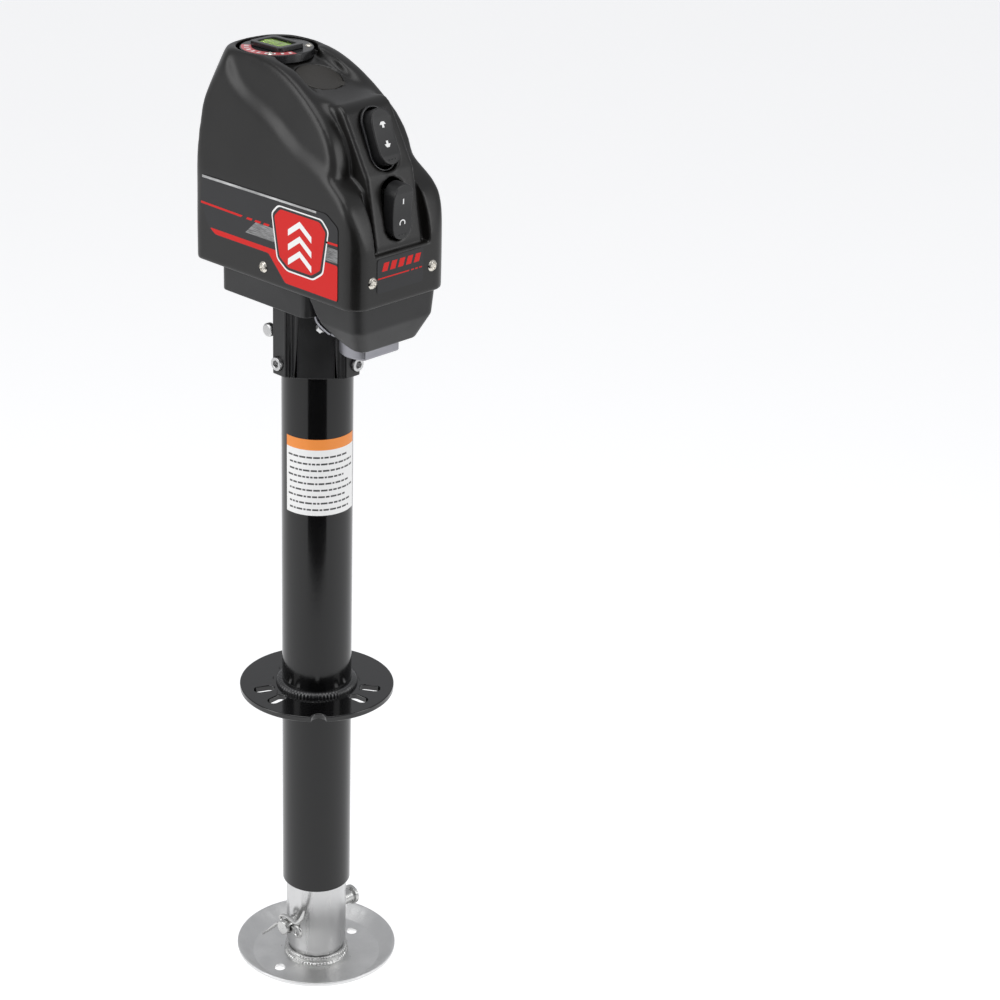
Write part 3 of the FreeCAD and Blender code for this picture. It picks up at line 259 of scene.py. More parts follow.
def brushedFilm(name, bright, dark, slanted):
    surface = newMaterial(name, bright, 0.32, 0.55)
    tree = surface.node_tree
    shader = tree.nodes["Principled BSDF"]
    place = tree.nodes.new("ShaderNodeTexCoord")
    turn = tree.nodes.new("ShaderNodeMapping")
    turn.inputs["Rotation"].default_value = (math.radians(40) if slanted else 0, 0, 0)
    turn.inputs["Scale"].default_value = (1, 120, 1400)
    tree.links.new(place.outputs["Object"], turn.inputs["Vector"])
    streak = addNode(tree, "ShaderNodeTexNoise", Scale=1.0, Detail=3.0, Roughness=0.6)
    tree.links.new(turn.outputs["Vector"], streak.inputs["Vector"])
    broad = addNode(tree, "ShaderNodeTexNoise", Scale=26.0, Detail=1.0)
    tree.links.new(place.outputs["Object"], broad.inputs["Vector"])
    both = mathNode(tree, "ADD", mathNode(tree, "MULTIPLY", streak.outputs["Fac"], 0.55),
                    mathNode(tree, "MULTIPLY", broad.outputs["Fac"], 0.45))
    spread = remap(tree, both, 0.38, 0.62, 0.0, 1.0)
    tone = tree.nodes.new("ShaderNodeMix")
    tone.data_type = "RGBA"
    tone.inputs["A"].default_value = (*dark, 1)
    tone.inputs["B"].default_value = (*bright, 1)
    tree.links.new(spread, tone.inputs["Factor"])
    tree.links.new(tone.outputs["Result"], shader.inputs["Base Color"])
    return surface


paints = buildMaterials()
print("materials made")


# mesh helpers

def nodeShape(node):
    shape = bmesh.new()
    shape.from_mesh(nodes[node].data)
    bmesh.ops.remove_doubles(shape, verts=shape.verts, dist=2e-6)
    return shape


def asPiece(name, shape, surfaces, sharp=35):
    mesh = bpy.data.meshes.new(name)
    shape.to_mesh(mesh)
    shape.free()
    for surface in surfaces:
        mesh.materials.append(paints[surface])
    for face in mesh.polygons:
        face.use_smooth = True
    mesh.set_sharp_from_angle(angle=math.radians(sharp))
    piece = bpy.data.objects.new(name, mesh)
    bpy.context.scene.collection.objects.link(piece)
    return piece


def settle(piece):
    # applies the piece's modifiers
    graph = bpy.context.evaluated_depsgraph_get()
    mesh = bpy.data.meshes.new_from_object(piece.evaluated_get(graph))
    piece.modifiers.clear()
    piece.data = mesh
    for face in mesh.polygons:
        face.use_smooth = True
    return piece


def placed(piece, body, slot, *stands):
    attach(piece, body)
    if stands:
        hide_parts(*stands)
    return piece


def crisp(node, surface, body, slot, width=0.5, segments=2, angle=30):
    # the CAD part with its sharp edges broken, by width in millimetres
    shape = nodeShape(node)
    bmesh.ops.dissolve_limit(shape, angle_limit=math.radians(0.6), verts=shape.verts, edges=shape.edges)
    piece = asPiece(node + "_finished", shape, [surface], 40)
    edge = piece.modifiers.new("edges", "BEVEL")
    edge.width = width * mm
    edge.segments = segments
    edge.limit_method = "ANGLE"
    edge.angle_limit = math.radians(angle)
    edge.use_clamp_overlap = False
    edge.harden_normals = False
    return placed(piece, body, slot, node)


def softened(name, shape, surface, voxel, rounds, softRounds=0, softness=None):
    # one closed skin round the shape, eased all over, and more where softness(place) says so
    piece = asPiece(name, shape, [surface])
    skin = piece.modifiers.new("skin", "REMESH")
    skin.mode = "VOXEL"
    skin.voxel_size = voxel * mm
    skin.use_smooth_shade = True
    settle(piece)
    keepLargest(piece)
    ease = piece.modifiers.new("ease", "SMOOTH")
    ease.factor = 0.5
    ease.iterations = rounds
    if softRounds:
        group = piece.vertex_groups.new(name="soft")
        for point in piece.data.vertices:
            group.add([point.index], softness(point.co / mm), "REPLACE")
        more = piece.modifiers.new("more", "SMOOTH")
        more.factor = 0.5
        more.iterations = softRounds
        more.vertex_group = "soft"
    settle(piece)
    piece.vertex_groups.clear()
    if not piece.data.materials:
        piece.data.materials.append(paints[surface])
    return piece


def keepLargest(piece):
    # drops closed pockets inside the skin
    shape = bmesh.new()
    shape.from_mesh(piece.data)
    unseen = set(shape.verts)
    groups = []
    while unseen:
        start = unseen.pop()
        group, edge = [start], [start]
        while edge:
            found = [e.other_vert(v) for v in edge for e in v.link_edges]
            edge = [v for v in set(found) if v in unseen]
            unseen.difference_update(edge)
            group += edge
        groups.append(group)
    groups.sort(key=len)
    extra = [v for group in groups[:-1] for v in group]
    bmesh.ops.delete(shape, geom=extra, context="VERTS")
    shape.to_mesh(piece.data)
    shape.free()


def smoothStep(low, high, value):
    t = min(1.0, max(0.0, (value - low) / (high - low)))
    return t * t * (3 - 2 * t)


def joinInto(whole, part):
    # moves everything in part into whole
    held = bpy.data.meshes.new("held")
    part.to_mesh(held)
    part.free()
    whole.from_mesh(held)
    bpy.data.meshes.remove(held)


def cube(shape, low, high):
    low, high = Vector(low) * mm, Vector(high) * mm
    turn = Matrix.Translation((low + high) / 2) @ Matrix.Diagonal((*(high - low), 1))
    return bmesh.ops.create_cube(shape, size=1, matrix=turn)["verts"]


def slopeFrame(y, z, slope):
    # from a flat drawing to a face that drops by slope degrees towards -Y
    return Matrix.Translation((0, y * mm, z * mm)) @ Matrix.Rotation(math.radians(slope), 4, "X")


def spunRing(profile, steps=128):
    # closed ring from (radius, height) points in millimetres
    shape = bmesh.new()
    dots = [shape.verts.new((r * mm, 0, z * mm)) for r, z in profile]
    sides = [shape.edges.new(pair) for pair in zip(dots, dots[1:] + dots[:1])]
    bmesh.ops.spin(shape, geom=dots + sides, cent=(0, 0, 0), axis=zAxis, angle=math.tau, steps=steps,
                   use_merge=True)
    bmesh.ops.remove_doubles(shape, verts=shape.verts, dist=1e-6)
    bmesh.ops.recalc_face_normals(shape, faces=shape.faces)
    return shape


def plate(shape, outline, thickness, matrix, surface=0):
    # flat piece from (u, v) points in millimetres, raised by thickness along its own +Z
    dots = [shape.verts.new((u * mm, v * mm, 0)) for u, v in outline]
    face = shape.faces.new(dots)
    face.normal_update()
    grown = bmesh.ops.extrude_face_region(shape, geom=[face])["geom"]
    raised = [g for g in grown if isinstance(g, bmesh.types.BMVert)]
    bmesh.ops.translate(shape, verts=raised, vec=(0, 0, thickness * mm))
    every = dots + raised
    made = {f for v in every for f in v.link_faces}
    bmesh.ops.recalc_face_normals(shape, faces=list(made))
    for f in made:
        f.material_index = surface
    bmesh.ops.transform(shape, matrix=matrix, verts=every)
    return every


def roundedOutline(points, radius, steps=4):
    # the same closed outline with each corner turned into an arc
    out = []
    for before, corner, after in zip(points[-1:] + points[:-1], points, points[1:] + points[:1]):
        corner = Vector(corner)
        first, last = Vector(before) - corner, Vector(after) - corner
        reach = min(radius, first.length / 2, last.length / 2)
        start, end = corner + first.normalized() * reach, corner + last.normalized() * reach
        for k in range(steps + 1):
            t = k / steps
            out.append(tuple((1 - t) ** 2 * start + 2 * t * (1 - t) * corner + t * t * end))
    return out


# camera, light and floor

camera = {"place": (-1322.3, -1442.8, 1283.3), "pitch": 23.625, "heading": 42.5, "roll": 0.132,
          "lens": 95.81, "shift": 0.183}


def setCamera():
    data = bpy.data.cameras.new("viewCamera")
    data.sensor_width = 36
    data.lens = camera["lens"]
    data.shift_x = camera["shift"]
    data.clip_start, data.clip_end = 0.05, 50
    eye = bpy.data.objects.new("viewCamera", data)
    bpy.context.scene.collection.objects.link(eye)
    heading, pitch = math.radians(camera["heading"]), math.radians(camera["pitch"])
    level = math.cos(pitch)
    forward = Vector((math.sin(heading) * level, math.cos(heading) * level, -math.sin(pitch)))
    eye.location = Vector(camera["place"]) * mm
    eye.rotation_mode = "QUATERNION"
    roll = Quaternion((0, 0, 1), math.radians(camera["roll"]))
    eye.rotation_quaternion = forward.to_track_quat("-Z", "Y") @ roll
    bpy.context.scene.camera = eye


studio = {
    "worldColor": (0.96, 0.97, 1.0), "worldStrength": 0.55, "floorGlow": 0.42,
    "leftSoftbox": {"heading": 112, "distance": 1.9, "height": 1.25, "size": (0.8, 1.6), "power": 13},
    "rightSoftbox": {"heading": -28, "distance": 2.0, "height": 1.2, "size": (0.8, 1.6), "power": 11},
    "topSoftbox": {"heading": 60, "distance": 0.5, "height": 2.4, "size": (1.6, 1.6), "power": 17},
    "darkCard": {"heading": 42.5, "distance": 0.75, "width": 0.86, "low": 0.02, "high": 0.72},
    "floorDrop": 0.357,  # the ground under the foot when the ram is right out
}


def setStudio():
    bpy.context.scene.view_settings.view_transform = "Standard"
    world = bpy.data.worlds.new("paleRoom")
    bpy.context.scene.world = world
    world.use_nodes = True
    sky = world.node_tree.nodes["Background"]
    sky.inputs["Color"].default_value = (*studio["worldColor"], 1)
    sky.inputs["Strength"].default_value = studio["worldStrength"]
    for name in ("leftSoftbox", "rightSoftbox", "topSoftbox"):
        box = studio[name]
        data = bpy.data.lights.new(name, "AREA")
        data.shape = "RECTANGLE"
        data.size, data.size_y = box["size"]
        data.energy = box["power"]
        lamp = bpy.data.objects.new(name, data)
        bpy.context.scene.collection.objects.link(lamp)
        turn = math.radians(box["heading"])
        away = box["distance"]
        lamp.location = (-math.sin(turn) * away, -math.cos(turn) * away, box["height"])
        lamp.rotation_mode = "QUATERNION"
        lamp.rotation_quaternion = (Vector((0, 0, 0.45)) - lamp.location).to_track_quat("-Z", "Y")
    shape = bmesh.new()
    bmesh.ops.create_grid(shape, x_segments=8, y_segments=8, size=9,
                          matrix=Matrix.Translation((0, 0, -studio["floorDrop"])))
    paints["floorPaper"] = grainedMaterial("pale_floor_paper", (0.86, 0.86, 0.86), 0.75, look={
        "grain": 300.0, "drift": 1.2, "bump": 0.02, "toneSpread": 0.01, "roughSpread": 0.05, "marks": 0.0},
        Emission_Color=(1, 1, 1, 1), Emission_Strength=studio["floorGlow"])
    floor = asPiece("studio_floor", shape, ["floorPaper"])
    # a dark card that only the glossy paint sees
    card = studio["darkCard"]
    paints["cardBlack"] = newMaterial("dark_card", (0.01, 0.01, 0.01), 0.9)
    shape = bmesh.new()
    turn = math.radians(card["heading"])
    side = Vector((math.cos(turn), -math.sin(turn), 0)) * card["width"] / 2
    centre = Vector((-math.sin(turn), -math.cos(turn), 0)) * card["distance"]
    corners = [(-1, card["low"]), (1, card["low"]), (1, card["high"]), (-1, card["high"])]
    shape.faces.new([shape.verts.new(centre + side * k + zAxis * h) for k, h in corners])
    dark = asPiece("studio_dark_card", shape, ["cardBlack"])
    for sense in ("camera", "diffuse", "shadow", "transmission", "volume_scatter"):
        setattr(dark, "visible_" + sense, False)


setCamera()
setStudio()
print("camera and studio set")


# moulded cover

cover = {
    "voxel": 1.1, "easeRounds": 5, "softRounds": 130, "floorHeight": 623.0,
    "switchSeats": ((-64.6, 739.8, 67.2), (-84.85, 690.5, 78.59)),
    "plugSeat": (-0.9, 773.9, 18.0),
    "levelPlace": (0.0, 46.6),
    # solid base of the head, hidden from outside: it runs through the gears and the screw
    "floorTop": 656.0, "floorBlocks": (((-47.5, -79), (47.5, 81)), ((-34, -92.3), (34, 90.3))),
    # closed well behind the plug: it cuts into the crank socket and the top of the screw
    "plugCup": [(14.6, -2.5), (17.5, -2.5), (17.5, -62), (0.01, -62), (0.01, -59), (14.6, -59)],
}
# where the skin is eased: from the first bound to the second it goes from kept to free
softness = {"waist": (640, 690), "levelTop": 770, "nearLevel": (31, 37), "nearPlug": (20, 27),
            "switchFace": (-38, -48), "switchHalfWidth": (29, 34), "least": 0.04}


def coverSoftness(place):
    x, y, z = place
    soft = smoothStep(*softness["waist"], z)
    if z > softness["levelTop"]:
        soft *= smoothStep(*softness["nearLevel"], math.hypot(x, y - cover["levelPlace"][1]))
    plugY, plugZ, slope = cover["plugSeat"]
    along = (y - plugY) / math.cos(math.radians(slope))
    soft *= smoothStep(*softness["nearPlug"], math.hypot(x, along, (z - plugZ) / 3))
    ahead = smoothStep(*softness["switchFace"], y)
    strip = 1 - smoothStep(*softness["switchHalfWidth"], abs(x))
    return softness["least"] + (1 - softness["least"]) * soft * (1 - ahead * strip)


def buildCover():
    shape = nodeShape("cover")
    for low, high in cover["floorBlocks"]:
        cube(shape, (*low, cover["floorHeight"]), (*high, cover["floorTop"]))
    y, z, slope = cover["plugSeat"]
    cup = spunRing(cover["plugCup"], 64)
    bmesh.ops.transform(cup, matrix=slopeFrame(y, z, slope), verts=cup.verts)
    joinInto(shape, cup)
    piece = softened("cover_shell", shape, "coverPlastic", cover["voxel"], cover["easeRounds"],
                     cover["softRounds"], coverSoftness)
    return placed(piece, "stand", "black_plastic", "cover")


buildCover()
print("cover made")


# lower motor shroud and castings

shroud = {"voxel": 0.9, "easeRounds": 8}


def buildShroud():
    piece = softened("motor_shroud_shell", nodeShape("motor_shroud"), "shroudPlastic", shroud["voxel"],
                     shroud["easeRounds"])
    return placed(piece, "stand", "black_plastic", "motor_shroud")


buildShroud()
crisp("gear_housing", "castPaint", "stand", "cast_metal", 0.7, 2)
crisp("motor_bell", "motorSteel", "stand", "motor_steel", 0.4)
crisp("motor_cradle", "motorSteel", "stand", "zinc_plate", 0.25)
crisp("cradle_bolts", "boltSteel", "stand", "zinc_plate", 0.4)
crisp("set_screws", "boltSteel", "stand", "screw_steel", 0.35)
crisp("collar_bolt", "boltSteel", "stand", "screw_steel", 0.3)
crisp("cover_screws", "screwNickel", "stand", "screw_steel", 0.2)
crisp("cord_grommet", "plugRubber", "stand", "soft_rubber", 0.4)
print("head castings made")


# tube, flange and foot

crisp("outer_tube", "tubePaint", "stand", "gloss_black_paint", 0.3)
crisp("mounting_flange", "flangePaint", "stand", "gloss_black_paint", 0.7)
crisp("foot_pan", "panZinc", "ram", "zinc_plate", 0.6)
crisp("ram_tube", "ramZinc", "ram", "zinc_tube", 0.3)
crisp("clevis_pin", "pinZinc", "ram", "zinc_plate", 0.8)

weld = {"ripples": 70, "footRipples": 60, "ripple": 0.5, "wander": 0.3, "spatter": 30, "footSpatter": 18,
        "spatterReach": (1.5, 6.0), "spatterSize": (0.25, 0.6), "steps": 344, "seed": 11}


def rippledBead(name, rings, ripples, surface):
    # weld beads with overlapping scallops
    rng = random.Random(weld["seed"])
    phases = [rng.uniform(0, math.tau) for _ in range(4)]
    whole = bmesh.new()
    for centreRadius, height, size, side in rings:
        profile = []
        for k in range(9):
            turn = math.radians(-20 + k * 130 / 8)
            profile.append((centreRadius + size * math.cos(turn), height + side * size * math.sin(turn)))
        inner = centreRadius - size * 0.4
        profile += [(inner, height + side * size * 0.9), (inner, height - side * size * 0.3)]
        ring = spunRing(profile, weld["steps"])
        for point in ring.verts:
            angle = math.atan2(point.co.y, point.co.x)
            radius = math.hypot(point.co.x, point.co.y)
            if radius / mm < inner + 0.1:
                continue
            scallop = abs(math.sin(angle * ripples / 2)) - 0.6
            wander = sum(math.sin(angle * (k + 2) + p) for k, p in enumerate(phases)) / 4
            moved = (weld["ripple"] * scallop + weld["wander"] * wander) * mm
            point.co.x *= 1 + moved / radius
            point.co.y *= 1 + moved / radius
            point.co.z += side * moved * 0.6
        joinInto(whole, ring)
    return asPiece(name, whole, [surface], 60)


def addSpatter(piece, rings, count):
    rng = random.Random(weld["seed"] + 1)
    shape = bmesh.new()
    shape.from_mesh(piece.data)
    for _ in range(count):
        centreRadius, height, size, side = rng.choice(rings)
        angle = rng.uniform(0, math.tau)
        reach = centreRadius + size + rng.uniform(*weld["spatterReach"])
        bead = rng.uniform(*weld["spatterSize"])
        spot = Vector((reach * math.cos(angle), reach * math.sin(angle), height + side * 0.05)) * mm
        bmesh.ops.create_uvsphere(shape, u_segments=10, v_segments=6, radius=bead * mm,
                                  matrix=Matrix.Translation(spot))
    shape.to_mesh(piece.data)
    shape.free()
    for face in piece.data.polygons:
        face.use_smooth = True


def buildWelds():
    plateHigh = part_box("mounting_flange")[1]
    tubeRadius = (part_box("outer_tube")[1].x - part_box("outer_tube")[0].x) / 2 / mm
    leg = (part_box("flange_weld")[1].z - plateHigh.z) / mm
    rings = [(tubeRadius + 0.6, plateHigh.z / mm + 0.6, leg - 1.2, 1)]
    bead = rippledBead("flange_weld_bead", rings, weld["ripples"], "weldPaint")
    addSpatter(bead, rings, weld["spatter"])
    placed(bead, "stand", "gloss_black_paint", "flange_weld")
    ringLow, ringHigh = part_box("foot_ring")
    outer = ringHigh.x / mm
    base, top = ringLow.z / mm, ringHigh.z / mm
    rings = [(outer - 3.4, base + 0.2, 3.0, 1), (outer - 3.0, top - 2.0, 1.9, 1)]
    bead = rippledBead("foot_weld_bead", rings, weld["footRipples"], "weldZinc")
    addSpatter(bead, [rings[0]], weld["footSpatter"])
    placed(bead, "ram", "zinc_plate")
    crisp("foot_ring", "weldZinc", "ram", "zinc_plate", 0.5)


buildWelds()

cotter = {"wire": 1.5, "x": -33.0, "height": 41.0, "eyeRadius": 4.6, "eyePlace": -12.3}


def taperedWire(name, runs, surface):
    # wires through lists of (x, y, z, relative thickness)
    data = bpy.data.curves.new(name, "CURVE")
    data.dimensions = "3D"
    data.bevel_depth = cotter["wire"] * mm
    data.bevel_resolution = 5
    data.use_fill_caps = True
    for run in runs:
        line = data.splines.new("NURBS")
        line.points.add(len(run) - 1)
        for point, (x, y, z, thick) in zip(line.points, run):
            point.co = (x * mm, y * mm, z * mm, 1)
            point.radius = thick
        line.order_u = 3
        line.use_endpoint_u = True
        line.resolution_u = 8
    wire = bpy.data.objects.new(name, data)
    bpy.context.scene.collection.objects.link(wire)
    graph = bpy.context.evaluated_depsgraph_get()
    mesh = bpy.data.meshes.new_from_object(wire.evaluated_get(graph))
    bpy.data.objects.remove(wire)
    shape = bmesh.new()
    shape.from_mesh(mesh)
    bmesh.ops.remove_doubles(shape, verts=shape.verts, dist=1e-6)
    bmesh.ops.recalc_face_normals(shape, faces=shape.faces)
    return asPiece(name, shape, [surface], 50)


def buildCotter():
    x, z, w = cotter["x"], cotter["height"], cotter["wire"]
    low = [(x, -9, z - 0.5 * w, 1), (x, 4, z - w, 1), (x, 9, z - w, 1), (x - 0.5, 13, z - 4, 1.0),
           (x - 1, 22, z - 14, 0.9), (x - 1, 31, z - 23, 0.5)]
    high = [(x, -9, z + 0.5 * w, 1), (x, 2, z + w, 1), (x, 8.5, z + w, 1), (x, 9.8, z + 5, 1),
            (x - 0.4, 3, z + 9.2, 1), (x - 0.8, -6, z + 8.5, 1.2), (x - 1.2, -13, z + 8, 1.4),
            (x - 1.2, -17.5, z + 13, 1.35),
            (x - 0.8, -20, z + 19, 1.1), (x - 0.4, -21.5, z + 25, 0.35)]
    eye = []
    for k in range(13):
        turn = math.radians(-150 + k * 300 / 12)
        eye.append((x, cotter["eyePlace"] - cotter["eyeRadius"] * math.cos(turn),
                    z - cotter["eyeRadius"] * math.sin(turn), 1))
    piece = taperedWire("cotter_wire", [low, high, eye], "pinZinc")
    return placed(piece, "ram", "zinc_plate", "cotter_pin")


buildCotter()
print("leg and foot made")


# switches, plug and level

boots = {"voxel": 0.4, "easeRounds": 12, "valley": 90.0, "valleyRise": 88.8,
         "ringOuter": 3.0, "ringInner": 2.1, "dotPitch": 3.2, "dotRadius": 0.75, "dotPlace": -17.6,
         "upper": {"node": "upper_boot", "body": "upper_switch", "stand": 10.6, "tilt": 0.0},
         "lower": {"node": "lower_boot", "body": "lower_switch", "stand": 9.0, "tilt": 14.0}}


def faceHeight(stand, along):
    dip = boots["valleyRise"] - math.sqrt(boots["valley"] ** 2 - along ** 2)
    return stand + min(0.0, dip)


def bootFrame(which):
    place = cover["switchSeats"][0 if which == "upper" else 1]
    return slopeFrame(*place) @ Matrix.Rotation(math.radians(boots[which]["tilt"]), 4, "X")


def buildBoot(which):
    spec = boots[which]
    piece = softened(which + "_boot_moulding", nodeShape(spec["node"]), "bootRubber", boots["voxel"],
                     boots["easeRounds"])
    placed(piece, spec["body"], "soft_rubber", spec["node"])
    marks = bmesh.new()
    seat = bootFrame(which)

    def mark(outline, along, thickness=0.14):
        lift = Matrix.Translation((0, along * mm, (faceHeight(spec["stand"], along) - 0.02) * mm))
        plate(marks, outline, thickness, seat @ lift)

    if which == "upper":
        mark([(-3, -1.2), (3, -1.2), (0, 3.2)], 10)
        mark([(-1, -3.6), (1, -3.6), (1, -1.2), (-1, -1.2)], 10)
        mark([(3, 1.2), (-3, 1.2), (0, -3.2)], -7)
        mark([(1, 3.6), (-1, 3.6), (-1, 1.2), (1, 1.2)], -7)
    else:
        mark([(-0.55, -3), (0.55, -3), (0.55, 3), (-0.55, 3)], 9)
        ringSteps, outer, inner = 20, boots["ringOuter"], boots["ringInner"]
        circle = [(math.cos(math.tau * k / ringSteps), math.sin(math.tau * k / ringSteps))
                  for k in range(ringSteps)]
        for (ax, ay), (bx, by) in zip(circle, circle[1:] + circle[:1]):
            mark([(outer * ax, outer * ay), (outer * bx, outer * by),
                  (inner * bx, inner * by), (inner * ax, inner * ay)], -9)
    placed(asPiece(which + "_switch_marks", marks, ["filmWhite"]), spec["body"], "soft_rubber")
    dots = bmesh.new()
    for side in (-1, 0, 1):
        place = (side * boots["dotPitch"], boots["dotPlace"], faceHeight(spec["stand"], -16) - 0.2)
        spot = seat @ Matrix.Translation(Vector(place) * mm)
        bmesh.ops.create_uvsphere(dots, u_segments=14, v_segments=8, radius=boots["dotRadius"] * mm,
                                  matrix=spot)
    placed(asPiece(which + "_switch_dots", dots, ["levelPlastic"]), spec["body"], "soft_rubber")


def buildSwitches():
    for which in ("upper", "lower"):
        buildBoot(which)
    flanges = softened("boot_flange_pair", nodeShape("boot_flanges"), "levelPlastic", 0.45, 4)
    placed(flanges, "stand", "black_plastic", "boot_flanges")


plug = {"voxel": 0.4, "easeRounds": 5, "tabAngle": -52, "tabReach": 20.3}


def buildPlug():
    shape = nodeShape("override_plug")
    turn = math.radians(plug["tabAngle"])
    tab = cube(shape, (14.0, -3.2, -0.3), (plug["tabReach"], 3.2, 0.8))
    seat = slopeFrame(*cover["plugSeat"])
    bmesh.ops.transform(shape, matrix=seat @ Matrix.Rotation(turn, 4, "Z"), verts=tab)
    piece = softened("plug_moulding", shape, "plugRubber", plug["voxel"], plug["easeRounds"])
    placed(piece, "plug", "soft_rubber", "override_plug")


level = {"top": 788.6, "labelInner": 19.5, "labelOuter": 27.4, "labelStart": 125, "labelEnd": 262,
         "tickCount": 9, "tickInner": 21.6, "tickOuter": 25.2, "vialRadius": 8.5, "lensRise": 1.5,
         "hoopPlace": 4.4, "backingGap": 0.05, "backingDrop": 3.4}


def ringSector(shape, inner, outer, start, end, low, thickness, steps=24, surface=0):
    centreY = cover["levelPlace"][1]
    for k in range(steps):
        a, b = [math.radians(start + (end - start) * t / steps) for t in (k, k + 1)]
        outline = [(radius * math.cos(turn), radius * math.sin(turn))
                   for radius, turn in ((inner, a), (outer, a), (outer, b), (inner, b))]
        plate(shape, outline, thickness, Matrix.Translation((0, centreY * mm, low * mm)), surface)


def buildLevel():
    crisp("level_plate", "levelPlastic", "stand", "black_plastic", 0.3, angle=60)
    crisp("level_bezel", "levelPlastic", "stand", "black_plastic", 0.55, 3)
    crisp("level_screws", "screwNickel", "stand", "screw_steel", 0.15)
    label = bmesh.new()
    ringSector(label, level["labelInner"], level["labelOuter"], level["labelStart"], level["labelEnd"],
               level["top"] + 0.01, 0.1)
    span = (level["labelEnd"] - level["labelStart"]) / level["tickCount"]
    for k in range(level["tickCount"]):
        start = level["labelStart"] + span * (k + 0.3)
        ringSector(label, level["tickInner"], level["tickOuter"], start, start + span * 0.35,
                   level["top"] + 0.1, 0.05, 3, 1)
    bmesh.ops.remove_doubles(label, verts=label.verts, dist=1e-6)
    placed(asPiece("level_label_ring", label, ["labelRose", "filmWhite"]), "stand", "label_film")
    low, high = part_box("level_vial")
    centre = (low + high) / 2
    back = bmesh.new()
    gap = Vector((1, 1, 1)) * level["backingGap"]
    drop = Vector((level["backingGap"], level["backingGap"], level["backingDrop"]))
    cube(back, low / mm + gap, high / mm - drop)
    placed(asPiece("vial_backing_plate", back, ["vialBack"]), "stand", "vial_glass", "level_vial")
    radius = level["vialRadius"]
    length = (high.y - low.y) / mm - 0.6
    lens = bmesh.new()
    squeeze = Matrix.Translation((centre.x, centre.y, high.z - level["lensRise"] * mm)) @ Matrix.Diagonal(
        (1, 1, level["lensRise"] / radius, 1))
    lying = squeeze @ Matrix.Rotation(math.pi / 2, 4, "X")
    bmesh.ops.create_cone(lens, cap_ends=True, segments=64, radius1=radius * mm, radius2=radius * mm,
                          depth=length * mm, matrix=lying)
    placed(asPiece("vial_tube", lens, ["vialLiquid"], 50), "stand", "vial_glass")
    lines = bmesh.new()
    for side in (-1, 1):
        inner, outer = radius - 0.02, radius + 0.06
        hoop = spunRing([(inner, -0.25), (outer, -0.25), (outer, 0.25), (inner, 0.25)], 48)
        aside = Matrix.Translation((0, side * level["hoopPlace"] * mm, 0))
        bmesh.ops.transform(hoop, verts=hoop.verts, matrix=aside @ lying)
        under = [v for v in hoop.verts if v.co.z < high.z - level["lensRise"] * mm]
        bmesh.ops.delete(hoop, geom=under, context="VERTS")
        joinInto(lines, hoop)
    placed(asPiece("vial_hoops", lines, ["printGrey"]), "stand", "vial_glass")


buildSwitches()
buildPlug()
buildLevel()
print("switches and level made")


# printed films

film = {"lift": 0.28, "thick": 0.12, "step": 0.05}


def sideMatrix(side, layer):
    # u runs to the back of the cover, v runs up
    reach = (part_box("cover")[1].x / mm + film["lift"] + layer * film["step"]) * side
    columns = Matrix(((0, 0, side, 0), (1, 0, 0, 0), (0, 1, 0, 0), (0, 0, 0, 1)))
    return Matrix.Translation((reach * mm, 0, 0)) @ columns


sideFilm = {
    "panel": [(78.5, 691.0), (-62.5, 691.6), (-75.5, 683.5), (-75.5, 625.5), (-17.0, 625.5), (2.0, 645.0),
              (64.0, 645.0), (71.0, 650.0), (80.5, 667.5)],
    "topLine": [(78.3, 690.6), (78.3, 688.6), (-52.0, 689.6), (-52.0, 691.2)],
    "redBand": [(70.0, 650.0), (-15.0, 650.0), (-24.0, 654.4), (-75.4, 654.4), (-75.4, 626.6),
                (-17.6, 626.6), (1.4, 645.8), (63.6, 645.8)],
    "brushed": [(28.0, 656.0), (-75.4, 656.0), (-75.4, 666.6), (16.0, 666.6)],
    "redLine": [(80.3, 667.6), (80.0, 669.3), (31.0, 668.6), (33.0, 666.9)],
    "redLineFront": [(-40.0, 668.6), (-40.0, 670.4), (-75.4, 671.2), (-75.4, 669.4)],
    "dashes": ((27.0, 6.0), (17.5, 6.5), (7.5, 6.0)), "dashHeights": (666.8, 668.6),
    "arrowTop": 679, "arrowPitch": 11.5,
    "badge": [(-9.5, 686.5), (-58.5, 686.5), (-66.0, 679.0), (-60.0, 644.0), (-49.0, 636.5), (-19.0, 636.5),
              (-8.0, 644.0), (-2.0, 679.0)],
}


def inset(points, amount):
    # moves every corner towards the middle
    centre = sum((Vector(p) for p in points), Vector((0, 0))) / len(points)
    return [tuple(Vector(p) + (centre - Vector(p)).normalized() * amount) for p in points]


